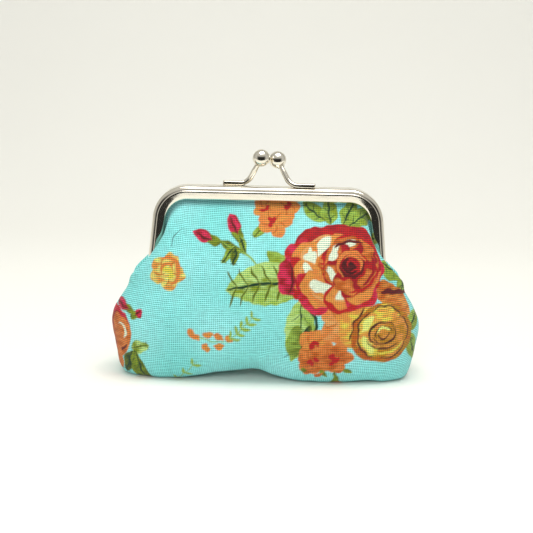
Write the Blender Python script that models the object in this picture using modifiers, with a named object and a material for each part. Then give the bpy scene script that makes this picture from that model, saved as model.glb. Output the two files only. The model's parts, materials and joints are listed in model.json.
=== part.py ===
"""Kiss-lock coin purse: a padded cloth pouch on a two-part nickel-plated steel frame.

Run with: blender --background --python part.py
Metres, +Z up. The purse stands on its flat base at z = 0 and faces -Y. X runs along the rail.
The two frame halves turn about one axis, along X through the two rivets.
Named sizes are in millimetres and become metres where a mesh is made.
"""
import math

import bmesh
import bpy
from mathutils import Matrix, Vector

MM = 0.001

# --- pouch -------------------------------------------------------------------------------------
# stations of the lower pouch, bottom to top: height, half width, half depth, squareness
STATIONS = [
    (0.0, 41.0, 0.6, 3.2),
    (0.0, 46.5, 9.5, 3.2),
    (0.9, 50.4, 13.4, 3.2),
    (3.6, 52.3, 16.0, 3.0),
    (10.0, 54.3, 18.4, 2.8),
    (19.5, 55.7, 19.3, 2.7),
    (27.0, 54.3, 18.6, 2.6),
    (33.2, 51.0, 17.2, 2.5),
]
SEAM_HALF_GAP = 0.6  # from the seam plane to a panel's edge, with the sewing thread between
DIMPLE_DEPTH = 5.0  # how far the side seam is drawn in below each hinge
DIMPLE_REACH = 3.5  # how far the dimple spreads to the front and back
DIMPLE_START_Z = 19.0
NOTCH_DEPTH = 2.4  # how far the side seam stops below the rest of the hinge line
PANEL_GAP = 0.4  # between a lower panel's top edge and the upper panel's bottom edge
INNER_TRIM = 0.3  # the inner layers stop this much farther from the hinge line
FLEECE_TRIM_LOWER = 1  # columns of the grid that the fleece leaves free beside each side seam
FLEECE_TRIM_UPPER = 4  # and beside each arm, where the cloth folds round the frame
LINING_TRIM_UPPER = 1
FLEECE_TRIM_ROWS = 4  # rows that it leaves free below the channel

# layers from the outside in: name, distance in from the outer face, thickness
LINING_INSET = 2.1
LAYERS = (("outer", 0.0, 0.5), ("fleece", 0.8, 0.6), ("lining", LINING_INSET, 0.35))
CHANNEL_SHARE = 0.38  # how much of a layer's inset is left inside the channel

# how the upper cloth leaves the channel: a value under the rail and one beside the arms, and how
# much each millimetre of a layer's inset adds to either
REACH_AT_RAIL = 9.0
REACH_AT_ARM, REACH_PER_INSET = 2.2, 1.8
FORWARD_AT_RAIL, FORWARD_LESS_PER_INSET = 4.5, 0.5
FORWARD_AT_ARM, FORWARD_PER_INSET = 5.5, 1.4
MOUTH_SHIFT_PER_INSET = 0.6
# how it reaches the hinge line: the pull at the side seam (across, forward, up), elsewhere the rise
# as a share of the height, and the fullness beside the hinges
SEAM_PULL = (3.0, 6.0, 2.1)
SEAM_PULL_PER_INSET = (1.4, 0.8)
RISE_SHARE = 0.45
LOBE_FROM_X, LOBE_TO_X, LOBE_DEPTH = 44.0, 49.0, 2.0
LEAN_PER_INSET = 2.3

# --- frame -------------------------------------------------------------------------------------
RAIL_TOP_Z = 68.5
HINGE_Z = 33.5
HALF_WIDTH_AT_HINGE = 43.5
CORNER_RADIUS = 12.5
ARM_SLOPE = math.radians(5.9)
ARM_END_Z = 36.8
ARM_STEPS = 3
CORNER_STEPS = 4
RAIL_STEPS = 6
STEEL = 0.5
# one channel's section: depth in front of the parting plane, distance in from the outer edge
CHANNEL = [
    (0.15, 0.0), (3.1, 0.0), (4.0, 0.45), (4.5, 1.4), (4.6, 4.2), (4.35, 4.9),
    (3.9, 4.75), (4.1, 4.15), (4.0, 1.6), (3.65, 0.85), (2.95, STEEL), (0.65, STEEL),
    (0.65, 4.0), (0.15, 4.0),
]  # fmt: skip

# --- hinge -------------------------------------------------------------------------------------
EAR_RADIUS = 2.6
EAR_HOLE_RADIUS = 1.3
RIVET_RADIUS = 1.0
RIVET_HEAD_RADIUS = 2.1
RIVET_HEAD_HEIGHT = 0.8
EAR_GAP = 0.3
OUTER_EAR_FACE_X = 43.2  # outer face of the front half's ears
NECK_TOP_Z = 38.8
NECK_DEPTHS = (0.5, 3.5)  # the neck's nearest and farthest edge from the parting plane
EAR_STEPS = 12
BRIDGE_REACH = 0.75  # from the back ear's middle out into the channel's web
BRIDGE_LOW_Z = 37.3
BRIDGE_SINK = 0.05  # how far the bridge stands inside the ear
BRIDGE_MARGIN = 0.1  # how much smaller it is than the neck, on each side

# --- paper cord and cloth in the channel --------------------------------------------------------
CLOTH_EDGE_INSET = 1.7
MOUTH_INSET = 5.5
CLOTH_FACE_DEPTH = 3.6
CORD_INSET = 2.2
CORD_DEPTH = 1.55
CORD_RADIUS = 0.5

# --- clasp -------------------------------------------------------------------------------------
BALL_RADIUS = 2.9
BALL_X = 2.875
BALL_Y = 1.6
BALL_Z = 78.2
BALL_STAGGER = 0.4  # the two balls' centres stand this much above and below BALL_Z
TAB_OUTER_X = 16.4
TAB_INNER_X = 8.6
TAB_WIDTH = 3.4
TAB_THICK = 1.6
TAB_Y = 2.35
TAB_GAP = 0.3
STEM_RADIUS = 1.1
STEM_BEND_X = 7.6
STEM_STEPS = 10
JOINT_GAP = 0.3

THREAD_RADIUS = 0.25


# --- helpers -----------------------------------------------------------------------------------
def clear_scene():
    for thing in list(bpy.data.objects):
        bpy.data.objects.remove(thing, do_unlink=True)


def new_collection(name):
    collection = bpy.data.collections.new(name)
    bpy.context.scene.collection.children.link(collection)
    return collection


def new_material(name, colour, roughness, metallic=0.0):
    made = bpy.data.materials.new(name)
    made.use_nodes = True
    shader = made.node_tree.nodes["Principled BSDF"]
    shader.inputs["Base Color"].default_value = (*colour, 1.0)
    shader.inputs["Roughness"].default_value = roughness
    shader.inputs["Metallic"].default_value = metallic
    return made


def smooth(value, low, high):
    t = min(max((value - low) / (high - low), 0.0), 1.0)
    return t * t * (3.0 - 2.0 * t)


def lerp(a, b, t):
    return a + (b - a) * t


def link_mesh(name, mesh, material, collection):
    thing = bpy.data.objects.new(name, mesh)
    thing.data.materials.append(material)
    collection.objects.link(thing)
    return thing


def adopt(thing, name, material, collection):
    """Name a primitive just added, and move it to its collection."""
    thing.name = name
    for old in list(thing.users_collection):
        old.objects.unlink(thing)
    collection.objects.link(thing)
    thing.data.materials.append(material)


def hang_on(thing, axis_empty):
    """Parent to the empty on the joint's axis and keep the place in the world."""
    thing.parent = axis_empty
    thing.matrix_parent_inverse = Matrix.Translation(-axis_empty.location)


def tube(name, points, radius, resolution, material, collection):
    """A round wire along points given in millimetres."""
    curve = bpy.data.curves.new(name, "CURVE")
    curve.dimensions = "3D"
    spline = curve.splines.new("POLY")
    spline.points.add(len(points) - 1)
    for slot, point in zip(spline.points, points):
        slot.co = (*(Vector(point) * MM), 1.0)
    curve.bevel_depth = radius * MM
    curve.bevel_resolution = resolution
    curve.use_fill_caps = True
    return link_mesh(name, curve, material, collection)


def curve_to_mesh(thing):
    """Replace a curve object by the mesh that it evaluates to, with its caps welded on."""
    graph = bpy.context.evaluated_depsgraph_get()
    mesh = bpy.data.meshes.new_from_object(thing.evaluated_get(graph))
    work = bmesh.new()
    work.from_mesh(mesh)
    bmesh.ops.remove_doubles(work, verts=work.verts, dist=0.00001)
    bmesh.ops.recalc_face_normals(work, faces=work.faces)
    work.to_mesh(mesh)
    work.free()
    name, place, collection = thing.name, thing.matrix_world.copy(), thing.users_collection[0]
    bpy.data.objects.remove(thing, do_unlink=True)
    made = bpy.data.objects.new(name, mesh)
    made.matrix_world = place
    collection.objects.link(made)
    return made


def boolean(target, other, operation):
    step = target.modifiers.new(operation.lower(), "BOOLEAN")
    step.operation = operation
    step.solver = "EXACT"
    step.object = other
    other.hide_render = True
    other.display_type = "WIRE"


# --- frame outline -----------------------------------------------------------------------------
def corner_centre():
    tangent_z = RAIL_TOP_Z - CORNER_RADIUS * (1.0 - math.sin(ARM_SLOPE))
    tangent_x = HALF_WIDTH_AT_HINGE - (tangent_z - HINGE_Z) * math.tan(ARM_SLOPE)
    return Vector((tangent_x - CORNER_RADIUS * math.cos(ARM_SLOPE), RAIL_TOP_Z - CORNER_RADIUS))


def half_outline(inset):
    """(point, inward direction) in the XZ plane from the rail's middle to the right arm's end."""
    centre = corner_centre()
    found = []
    for k in range(RAIL_STEPS // 2):
        x = centre.x * k / (RAIL_STEPS // 2)
        found.append((Vector((x, RAIL_TOP_Z - inset)), Vector((0.0, -1.0))))
    for k in range(CORNER_STEPS + 1):
        angle = lerp(math.pi / 2, ARM_SLOPE, k / CORNER_STEPS)
        out = Vector((math.cos(angle), math.sin(angle)))
        found.append((centre + out * (CORNER_RADIUS - inset), -out))
    start, inward = found[-1]
    down = Vector((math.sin(ARM_SLOPE), -math.cos(ARM_SLOPE)))
    length = (start.y - ARM_END_Z) / math.cos(ARM_SLOPE)
    for k in range(1, ARM_STEPS + 1):
        found.append((start + down * (length * k / ARM_STEPS), inward))
    return found


def outline(inset):
    """The whole outline, from the left arm's end over the rail to the right arm's end."""
    right = half_outline(inset)
    left = [(Vector((-p.x, p.y)), Vector((-n.x, n.y))) for p, n in right[1:]]
    return left[::-1] + right


def column_fractions():
    """How far along the frame each column of cloth starts, from 0 to 1."""
    points = [p for p, _ in outline(MOUTH_INSET)]
    lengths = [0.0]
    for a, b in zip(points, points[1:]):
        lengths.append(lengths[-1] + (b - a).length)
    return [length / lengths[-1] for length in lengths]


# --- the cloth's surface -----------------------------------------------------------------------
def station_point(fraction, station):
    """A point of the front of the lower pouch (x, y, z)."""
    height, half_width, half_depth, square = station
    angle = math.pi * (1.0 - fraction)
    across = math.cos(angle)
    power = 2.0 / square
    x = half_width * math.copysign(abs(across) ** power, across)
    rise = max(math.sin(angle), 0.0) ** power
    depth = SEAM_HALF_GAP + (half_depth - SEAM_HALF_GAP) * rise
    near_seam = math.exp(-((depth / DIMPLE_REACH) ** 2)) * abs(across)
    drawn_in = DIMPLE_DEPTH * smooth(height, DIMPLE_START_Z, HINGE_Z) * near_seam
    x -= math.copysign(drawn_in, across)
    z = height - NOTCH_DEPTH * smooth(height, STATIONS[-2][0], STATIONS[-1][0]) * near_seam
    return Vector((x, -depth, z))


def lower_grid():
    fractions = column_fractions()
    return [[station_point(f, station) for f in fractions] for station in STATIONS]


def bezier(points, t):
    a, b, c, d = points
    s = 1.0 - t
    return a * s**3 + b * (3 * s * s * t) + c * (3 * s * t * t) + d * t**3


CLOTH_STEPS = (0.14, 0.32, 0.54, 0.77, 1.0)


def upper_column(low, edge, mouth, inward, inset):
    """One line of an upper layer, from its edge inside the channel down to the hinge line."""
    arm = abs(inward.x)
    at_seam = abs(low.y) < 1.0
    face = CLOTH_FACE_DEPTH - CHANNEL_SHARE * inset
    mouth = mouth + inward * (MOUTH_SHIFT_PER_INSET * inset)
    start = Vector((mouth.x, -face, mouth.y))
    reach = lerp(REACH_AT_RAIL, REACH_AT_ARM + REACH_PER_INSET * inset, arm)
    rail_forward = FORWARD_AT_RAIL - FORWARD_LESS_PER_INSET * inset
    forward = lerp(rail_forward, FORWARD_AT_ARM + FORWARD_PER_INSET * inset, arm)
    leave = start + Vector((inward.x * reach, -forward, inward.y * reach))
    side = math.copysign(1.0, low.x)
    if at_seam:
        across = SEAM_PULL[0] - SEAM_PULL_PER_INSET[0] * inset
        front = SEAM_PULL[1] + SEAM_PULL_PER_INSET[1] * inset
        arrive = low + Vector((side * across, -front, SEAM_PULL[2]))
    else:
        lobe = arm * smooth(abs(low.x), LOBE_FROM_X, LOBE_TO_X)
        rise = RISE_SHARE * max(start.z - low.z, 0.0)
        arrive = low + Vector((-side * arm * LEAN_PER_INSET * inset, -LOBE_DEPTH * lobe, rise))
    first = Vector((edge.x, -face, edge.y))
    return [first, start] + [bezier([start, leave, arrive, low], t) for t in CLOTH_STEPS]


def upper_grid(inset):
    """Rows of one layer from the hinge line up to its edge inside the channel."""
    edges, mouths = outline(CLOTH_EDGE_INSET), outline(MOUTH_INSET)
    rise = PANEL_GAP + (2 * INNER_TRIM if inset else 0.0)
    lows = [p + Vector((0.0, 0.0, rise)) for p in lower_layer(inset)[-1]]
    columns = [
        upper_column(low, edge, mouth, inward, inset)
        for low, (edge, _), (mouth, inward) in zip(lows, edges, mouths)
    ]
    return [list(row) for row in zip(*[column[::-1] for column in columns])]


def grid_normals(grid):
    """Unit vectors out of the pouch at each point of a front grid."""
    rows, columns = len(grid), len(grid[0])
    found = []
    for i in range(rows):
        line = []
        for j in range(columns):
            up = grid[min(i + 1, rows - 1)][j] - grid[max(i - 1, 0)][j]
            right = grid[i][min(j + 1, columns - 1)] - grid[i][max(j - 1, 0)]
            line.append(right.cross(up).normalized())
        found.append(line)
    return found


def inset_grid(grid, inset):
    """The grid moved into the pouch and kept off the seam plane."""
    moved = []
    for row, normals in zip(grid, grid_normals(grid)):
        line = [p - n * inset for p, n in zip(row, normals)]
        moved.append([Vector((p.x, min(p.y, -SEAM_HALF_GAP), p.z)) for p in line])
    return moved


def level_row(row, outer_row, rise):
    """Set a row's heights to those of the outer cloth, plus a rise."""
    for point, outer in zip(row, outer_row):
        point.z = outer.z + rise


def trim_columns(rows, count):
    return [row[count:-count] for row in rows]


def cloth_panel(name, grid, thickness, mirrored, material, collection):
    """A sheet of cloth over a grid of points, with its thickness inside."""
    turn = -1.0 if mirrored else 1.0
    work = bmesh.new()
    rows = [[work.verts.new((p.x * MM, p.y * turn * MM, p.z * MM)) for p in row] for row in grid]
    for low, high in zip(rows, rows[1:]):
        for k in range(len(low) - 1):
            corners = (low[k], low[k + 1], high[k + 1], high[k])
            work.faces.new(corners[::-1] if mirrored else corners)
    mesh = bpy.data.meshes.new(name)
    work.to_mesh(mesh)
    work.free()
    mesh.shade_smooth()
    thing = link_mesh(name, mesh, material, collection)
    solid = thing.modifiers.new("thickness", "SOLIDIFY")
    solid.thickness = thickness * MM
    solid.offset = -1.0
    return thing


def lower_layer(inset):
    """One layer of the lower pouch, its base rows flat and its top row level with the outer's."""
    grid = lower_grid()
    rows = inset_grid(grid, inset)
    level_row(rows[0], grid[0], inset)
    level_row(rows[1], grid[1], inset)
    level_row(rows[-1], grid[-1], -INNER_TRIM if inset else 0.0)
    return rows


def lower_panels(side, mirrored, look, collection):
    """The outer cloth, the fleece and the lining below the hinge line, on one side."""
    for layer, inset, thick in LAYERS:
        rows = lower_layer(inset)
        if layer == "fleece":
            rows = trim_columns(rows, FLEECE_TRIM_LOWER)
        cloth_panel(f"{layer}_{side}_lower", rows, thick, mirrored, look[layer], collection)


def upper_panels(side, mirrored, look, collection, axis_empty):
    """The same three layers above the hinge line, drawn into the frame's channel."""
    for layer, inset, thick in LAYERS:
        rows = upper_grid(inset)
        if layer == "fleece":
            rows = trim_columns(rows, FLEECE_TRIM_UPPER)[:-FLEECE_TRIM_ROWS]
        elif layer == "lining":
            rows = trim_columns(rows, LINING_TRIM_UPPER)
        name = f"{layer}_{side}_upper"
        hang_on(cloth_panel(name, rows, thick, mirrored, look[layer], collection), axis_empty)


def seam_thread(name, inset, look, collection):
    """The thread that joins front and back, down one side, along the base and up the other."""
    rows = lower_layer(inset)
    left = [Vector((row[0].x, 0.0, row[0].z)) for row in rows[::-1]]
    inner = THREAD_RADIUS + 0.05
    left = [Vector((p.x + inner, 0.0, max(p.z, inset + inner))) for p in left]
    right = [Vector((-p.x, 0.0, p.z)) for p in left[::-1]]
    return tube(name, left + right, THREAD_RADIUS, 1, look["thread"], collection)


# --- frame halves ------------------------------------------------------------------------------
def channel_profile(collection):
    curve = bpy.data.curves.new("channel_profile", "CURVE")
    curve.dimensions = "2D"
    spline = curve.splines.new("POLY")
    spline.points.add(len(CHANNEL) - 1)
    for slot, (depth, inset) in zip(spline.points, CHANNEL):
        slot.co = (inset * MM, depth * MM, 0.0, 1.0)
    spline.use_cyclic_u = True
    guide = bpy.data.objects.new("channel_profile", curve)
    guide.hide_render = True
    guide.display_type = "WIRE"
    collection.objects.link(guide)
    return guide


def channel_mesh(name, profile, mirrored, collection):
    """One half's bent channel, drawn in its own XY plane and stood up, facing front or back."""
    curve = bpy.data.curves.new(name, "CURVE")
    curve.dimensions = "2D"
    curve.fill_mode = "NONE"
    spline = curve.splines.new("POLY")
    points = [p for p, _ in outline(0.0)]
    spline.points.add(len(points) - 1)
    for slot, point in zip(spline.points, points):
        slot.co = (point.x * MM, point.y * MM, 0.0, 1.0)
    curve.bevel_mode = "OBJECT"
    curve.bevel_object = profile
    curve.use_fill_caps = True
    thing = bpy.data.objects.new(name, curve)
    thing.rotation_euler = (math.pi / 2, 0.0, math.pi if mirrored else 0.0)
    collection.objects.link(thing)
    bpy.context.view_layer.update()
    return curve_to_mesh(thing)


def ear_outline():
    """Depth and height of the ear's corners: a disc on the hinge axis with a neck to the arm."""
    near, far = NECK_DEPTHS
    last = math.acos(near / EAR_RADIUS) - 2.0 * math.pi
    rim = [(far, NECK_TOP_Z), (far, HINGE_Z + EAR_RADIUS)]
    for k in range(EAR_STEPS + 1):
        angle = last * k / EAR_STEPS
        rim.append((EAR_RADIUS * math.cos(angle), HINGE_Z + EAR_RADIUS * math.sin(angle)))
    return rim + [(near, NECK_TOP_Z)]


def ear_plate(name, centre_x, mirrored, cutters):
    """A flat steel ear that stands across the hinge axis."""
    curve = bpy.data.curves.new(name, "CURVE")
    curve.dimensions = "2D"
    curve.fill_mode = "BOTH"
    curve.extrude = STEEL / 2 * MM
    spline = curve.splines.new("POLY")
    rim = ear_outline()
    spline.points.add(len(rim) - 1)
    for slot, (depth, height) in zip(spline.points, rim):
        slot.co = (depth * MM, height * MM, 0.0, 1.0)
    spline.use_cyclic_u = True
    plate = bpy.data.objects.new(name, curve)
    plate.location = (centre_x * MM, 0.0, 0.0)
    plate.rotation_euler = (math.pi / 2, 0.0, math.pi / 2 if mirrored else -math.pi / 2)
    cutters.objects.link(plate)
    bpy.context.view_layer.update()
    return curve_to_mesh(plate)


def box(name, low, high, collection):
    low, high = Vector(low) * MM, Vector(high) * MM
    bpy.ops.mesh.primitive_cube_add(size=1.0, location=(low + high) / 2)
    thing = bpy.context.object
    thing.scale = high - low
    bpy.ops.object.transform_apply(location=False, rotation=False, scale=True)
    thing.name = name
    for old in list(thing.users_collection):
        old.objects.unlink(thing)
    collection.objects.link(thing)
    return thing


def hinge_hole(name, cutters):
    bpy.ops.mesh.primitive_cylinder_add(
        vertices=16,
        radius=EAR_HOLE_RADIUS * MM,
        depth=2.2 * HALF_WIDTH_AT_HINGE * MM,
        location=(0.0, 0.0, HINGE_Z * MM),
        rotation=(0.0, math.pi / 2, 0.0),
    )
    hole = bpy.context.object
    hole.name = name
    for old in list(hole.users_collection):
        old.objects.unlink(hole)
    cutters.objects.link(hole)
    return hole


def frame_half(side, mirrored, look, collection, cutters, axis_empty):
    """A bent channel with a flat ear at each end, drilled for the rivets."""
    frame = channel_mesh(f"{side}_frame", channel_profile(cutters), mirrored, collection)
    frame.data.materials.append(look["steel"])
    ear_x = OUTER_EAR_FACE_X - STEEL / 2
    if mirrored:
        ear_x -= STEEL + EAR_GAP
    for hand in (-1.0, 1.0):
        label = "left" if hand < 0 else "right"
        plate = ear_plate(f"{side}_{label}_ear", hand * ear_x, mirrored, cutters)
        boolean(frame, plate, "UNION")
        if mirrored:
            inner_x = ear_x - STEEL / 2 + BRIDGE_SINK
            reach = sorted((hand * inner_x, hand * (ear_x + BRIDGE_REACH)))
            near, far = NECK_DEPTHS[0] + BRIDGE_MARGIN, NECK_DEPTHS[1] - BRIDGE_MARGIN
            low = (reach[0], near, BRIDGE_LOW_Z)
            high = (reach[1], far, NECK_TOP_Z - BRIDGE_MARGIN)
            bridge = box(f"{label}_bridge", low, high, cutters)
            boolean(frame, bridge, "UNION")
    boolean(frame, hinge_hole(f"{side}_hinge_hole", cutters), "DIFFERENCE")
    hang_on(frame, axis_empty)
    return frame


def filler_cord(side, mirrored, look, collection, axis_empty):
    """The paper cord that wedges the cloth in the channel."""
    turn = 1.0 if mirrored else -1.0
    path = [(p.x, turn * CORD_DEPTH, p.y) for p, _ in outline(CORD_INSET)]
    name = f"{side}_filler_cord"
    hang_on(tube(name, path, CORD_RADIUS, 1, look["paper"], collection), axis_empty)


def hinge_rivet(label, hand, look, collection, axis_empty):
    """A turned rivet: domed outer head, shank through both ears, spread inner head."""
    outer = OUTER_EAR_FACE_X + EAR_GAP
    inner = OUTER_EAR_FACE_X - 2 * STEEL - 2 * EAR_GAP
    head, tall, shank = RIVET_HEAD_RADIUS, RIVET_HEAD_HEIGHT, RIVET_RADIUS
    profile = [(0.0, outer + tall), (0.5 * head, outer + 0.9 * tall)]
    profile += [(0.85 * head, outer + 0.55 * tall)]
    profile += [(head, outer), (shank, outer), (shank, inner), (0.9 * head, inner)]
    profile += [(0.9 * head, inner - 0.5 * tall), (0.6 * head, inner - tall), (0.0, inner - tall)]
    mesh = bpy.data.meshes.new(f"{label}_hinge_rivet")
    work = bmesh.new()
    verts = [work.verts.new((radius * MM, 0.0, along * MM)) for radius, along in profile]
    for a, b in zip(verts, verts[1:]):
        work.edges.new((a, b))
    work.to_mesh(mesh)
    work.free()
    rivet = link_mesh(f"{label}_hinge_rivet", mesh, look["steel"], collection)
    turned = rivet.modifiers.new("turned", "SCREW")
    turned.axis = "Z"
    turned.angle = 2 * math.pi
    turned.steps = 16
    turned.render_steps = 16
    turned.use_merge_vertices = True
    turned.merge_threshold = 0.00005
    turned.use_smooth_shade = True
    rivet.location = (0.0, 0.0, HINGE_Z * MM)
    rivet.rotation_euler = (0.0, hand * math.pi / 2, 0.0)
    bpy.context.view_layer.update()
    hang_on(rivet, axis_empty)


# --- clasp -------------------------------------------------------------------------------------
def ball_centre(hand):
    return Vector((hand * BALL_X, hand * BALL_Y, BALL_Z - hand * BALL_STAGGER))


def stem_path(hand):
    """The stem's centre line, from inside its tab, round the bend and straight to its ball."""
    level = RAIL_TOP_Z + TAB_GAP + STEM_RADIUS + 0.05
    side_y = -hand * TAB_Y
    begin = Vector((hand * (TAB_INNER_X + 1.2), side_y, level))
    bend = Vector((hand * STEM_BEND_X, side_y, level))
    ball = ball_centre(hand)
    rising = (ball - bend).normalized()
    end = ball - rising * (BALL_RADIUS + JOINT_GAP)
    leave = bend.lerp(end, 0.35)
    bent = []
    for k in range(STEM_STEPS + 1):
        t = k / STEM_STEPS
        bent.append(begin.lerp(bend, t).lerp(bend.lerp(leave, t), t))
    return bent + [end]


def clasp(side, hand, look, collection, cutters, axis_empty):
    """One stem with its flat tab on the rail, and the ball on its end."""
    stem = tube(f"{side}_clasp_stem", stem_path(hand), STEM_RADIUS, 2, look["steel"], collection)
    bpy.context.view_layer.update()
    stem = curve_to_mesh(stem)
    side_y = -hand * TAB_Y
    across = sorted((hand * TAB_INNER_X, hand * TAB_OUTER_X))
    low = (across[0], side_y - TAB_WIDTH / 2, RAIL_TOP_Z + TAB_GAP)
    high = (across[1], side_y + TAB_WIDTH / 2, RAIL_TOP_Z + TAB_GAP + TAB_THICK)
    tab = box(f"{side}_tab", low, high, cutters)
    rounded = tab.modifiers.new("rounded", "BEVEL")
    rounded.width = 0.35 * MM
    rounded.segments = 1
    boolean(stem, tab, "UNION")
    hang_on(stem, axis_empty)
    bpy.ops.mesh.primitive_uv_sphere_add(
        segments=20,
        ring_count=12,
        radius=BALL_RADIUS * MM,
        location=ball_centre(hand) * MM,
    )
    ball = bpy.context.object
    adopt(ball, f"{side}_clasp_ball", look["steel"], collection)
    ball.data.shade_smooth()
    hang_on(ball, axis_empty)


# --- assembly ----------------------------------------------------------------------------------
def make_looks():
    return {
        "outer": new_material("printed_canvas", (0.30, 0.77, 0.74), 0.85),
        "fleece": new_material("fleece", (0.86, 0.85, 0.82), 0.95),
        "lining": new_material("cotton_lining", (0.80, 0.78, 0.70), 0.85),
        "thread": new_material("thread", (0.32, 0.72, 0.70), 0.70),
        "steel": new_material("nickel_plated_steel", (0.80, 0.77, 0.69), 0.12, 1.0),
        "paper": new_material("paper_cord", (0.62, 0.50, 0.34), 0.90),
    }


def hinge_axis(name, collection):
    empty = bpy.data.objects.new(name, None)
    empty.location = (0.0, 0.0, HINGE_Z * MM)
    collection.objects.link(empty)
    return empty


def main():
    clear_scene()
    purse = new_collection("coin_purse")
    cutters = new_collection("cutters")
    look = make_looks()
    front_axis = hinge_axis("front_half_axis", purse)
    back_axis = hinge_axis("back_half_axis", purse)
    bpy.context.view_layer.update()

    seam_thread("outer_seam_thread", 0.0, look, purse)
    seam_thread("lining_seam_thread", LINING_INSET, look, purse)
    halves = (("front", False, 1.0, front_axis), ("back", True, -1.0, back_axis))
    for side, mirrored, hand, axis_empty in halves:
        lower_panels(side, mirrored, look, purse)
        upper_panels(side, mirrored, look, purse, axis_empty)
        filler_cord(side, mirrored, look, purse, axis_empty)
        frame_half(side, mirrored, look, purse, cutters, axis_empty)
        clasp(side, hand, look, purse, cutters, axis_empty)
    for label, hand in (("left", -1.0), ("right", 1.0)):
        hinge_rivet(label, hand, look, purse, back_axis)
    for cutter in cutters.objects:
        cutter.hide_render = True
        cutter.display_type = "WIRE"


main()
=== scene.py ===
import json
import math

import bmesh
import bpy
import numpy as np
from mathutils import Matrix, Vector


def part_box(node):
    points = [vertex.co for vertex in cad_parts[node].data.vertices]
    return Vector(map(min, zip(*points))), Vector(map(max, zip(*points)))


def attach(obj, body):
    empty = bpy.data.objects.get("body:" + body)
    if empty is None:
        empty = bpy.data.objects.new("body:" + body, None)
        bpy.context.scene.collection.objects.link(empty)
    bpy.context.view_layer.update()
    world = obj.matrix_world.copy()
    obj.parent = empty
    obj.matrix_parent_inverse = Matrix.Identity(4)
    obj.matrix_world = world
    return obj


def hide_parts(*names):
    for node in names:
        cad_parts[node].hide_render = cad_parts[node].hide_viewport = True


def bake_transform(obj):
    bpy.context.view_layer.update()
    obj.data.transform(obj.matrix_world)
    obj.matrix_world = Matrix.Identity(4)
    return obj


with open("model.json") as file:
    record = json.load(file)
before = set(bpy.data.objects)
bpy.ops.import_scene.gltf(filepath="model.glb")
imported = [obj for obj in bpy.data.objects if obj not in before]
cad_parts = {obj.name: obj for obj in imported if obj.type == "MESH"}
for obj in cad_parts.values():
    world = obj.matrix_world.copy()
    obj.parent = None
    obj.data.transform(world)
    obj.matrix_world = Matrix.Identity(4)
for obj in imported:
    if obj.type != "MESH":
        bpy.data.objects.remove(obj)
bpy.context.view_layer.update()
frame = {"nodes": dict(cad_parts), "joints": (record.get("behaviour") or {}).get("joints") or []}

MM = 0.001


# --- places taken from the frame ---
def box_mm(node):
    low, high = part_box(node)
    return np.array(low) / MM, np.array(high) / MM


def ball_centre(side):
    low, high = box_mm(f"{side}_clasp_ball")
    return (low + high) / 2


HINGE_Z = frame["joints"][0]["pos_m"][2] / MM
RAIL_TOP_Z = box_mm("front_frame")[1][2]
OUTER_EAR_FACE_X = 43.2
HALVES = (("front", -1.0, 1.0), ("back", 1.0, -1.0))  # side, which way it faces, hand of its clasp
SEEDS = {"front": 1, "back": 2}  # for the cloth's unevenness, shared by the layers of one side

# --- the pouch's shape: that of the frame's solids, a little fuller at the base ---
STATIONS = np.array([  # height, half width, half depth, squareness
    (0.0, 41.0, 0.6, 3.2), (0.0, 48.3, 9.5, 3.2), (0.9, 51.4, 13.4, 3.2), (3.6, 52.9, 16.0, 3.0),
    (10.0, 54.3, 18.4, 2.8), (19.5, 55.7, 19.3, 2.7), (27.0, 54.3, 18.6, 2.6), (33.2, 51.0, 17.2, 2.5),
])
SEAM_HALF_GAP = 0.6
DIMPLE_DEPTH, DIMPLE_REACH, DIMPLE_START_Z = 5.0, 3.5, 19.0
NOTCH_DEPTH = 2.4
SEAM_TUCK, SEAM_TUCK_REACH = 1.7, 1.9  # how far the turned-in side seam is drawn between the panels
# how the upper cloth leaves the channel: over the rail, over the arms, and for each mm of inset
REACH_AT_RAIL, REACH_AT_ARM, REACH_PER_INSET = 9.0, 2.2, 1.8
FORWARD_AT_RAIL, FORWARD_LESS_PER_INSET, FORWARD_AT_ARM, FORWARD_PER_INSET = 4.5, 0.5, 1.0, 1.9
MOUTH_SHIFT_PER_INSET, RISE_SHARE, LEAN_PER_INSET = 0.6, 0.45, 2.0
LOBE_FROM_X, LOBE_TO_X, LOBE_DEPTH = 44.0, 49.0, 2.0
SEAM_PULL, SEAM_PULL_PER_INSET, SEAM_SHARE = (3.0, -6.0, 2.1), (-1.4, -0.8, 0.0), 0.06
# how far the outer cloth swells over the arms, most at their ends
SWELL_FROM_Z, SWELL_OUT, SWELL_FORWARD, SWELL_LOW = 61.0, 6.4, 1.6, 1.6
HALF_WIDTH_AT_HINGE, CORNER_RADIUS, ARM_SLOPE, ARM_END_Z = 43.5, 12.5, math.radians(5.9), 36.8
CLOTH_EDGE_INSET, MOUTH_INSET, CLOTH_FACE_DEPTH, CHANNEL_SHARE = 1.7, 5.5, 3.6, 0.38
STEEL, NECK_TOP_Z, EAR_RADIUS, EAR_HOLE_RADIUS, EAR_GAP = 0.5, 38.8, 2.6, 1.3, 0.3
# each layer's inset and thickness, its slot, and its columns, lower rows and upper rows
LAYERS = {
    "outer": (0.0, 0.5, "printed_canvas", (349, 121, 133)),
    "fleece": (0.8, 0.6, "fleece", (121, 43, 40)),
    "lining": (2.1, 0.35, "cotton_lining", (181, 61, 67)),
}
INNER_SKIP = 3  # a sheet's inner face has one point for every three on its outer face
FLEECE_TRIM = 0.06  # the fleece stops this share of its width short of each side seam


def smooth(value, low, high):
    t = np.clip((value - low) / (high - low), 0.0, 1.0)
    return t * t * (3.0 - 2.0 * t)


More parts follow.
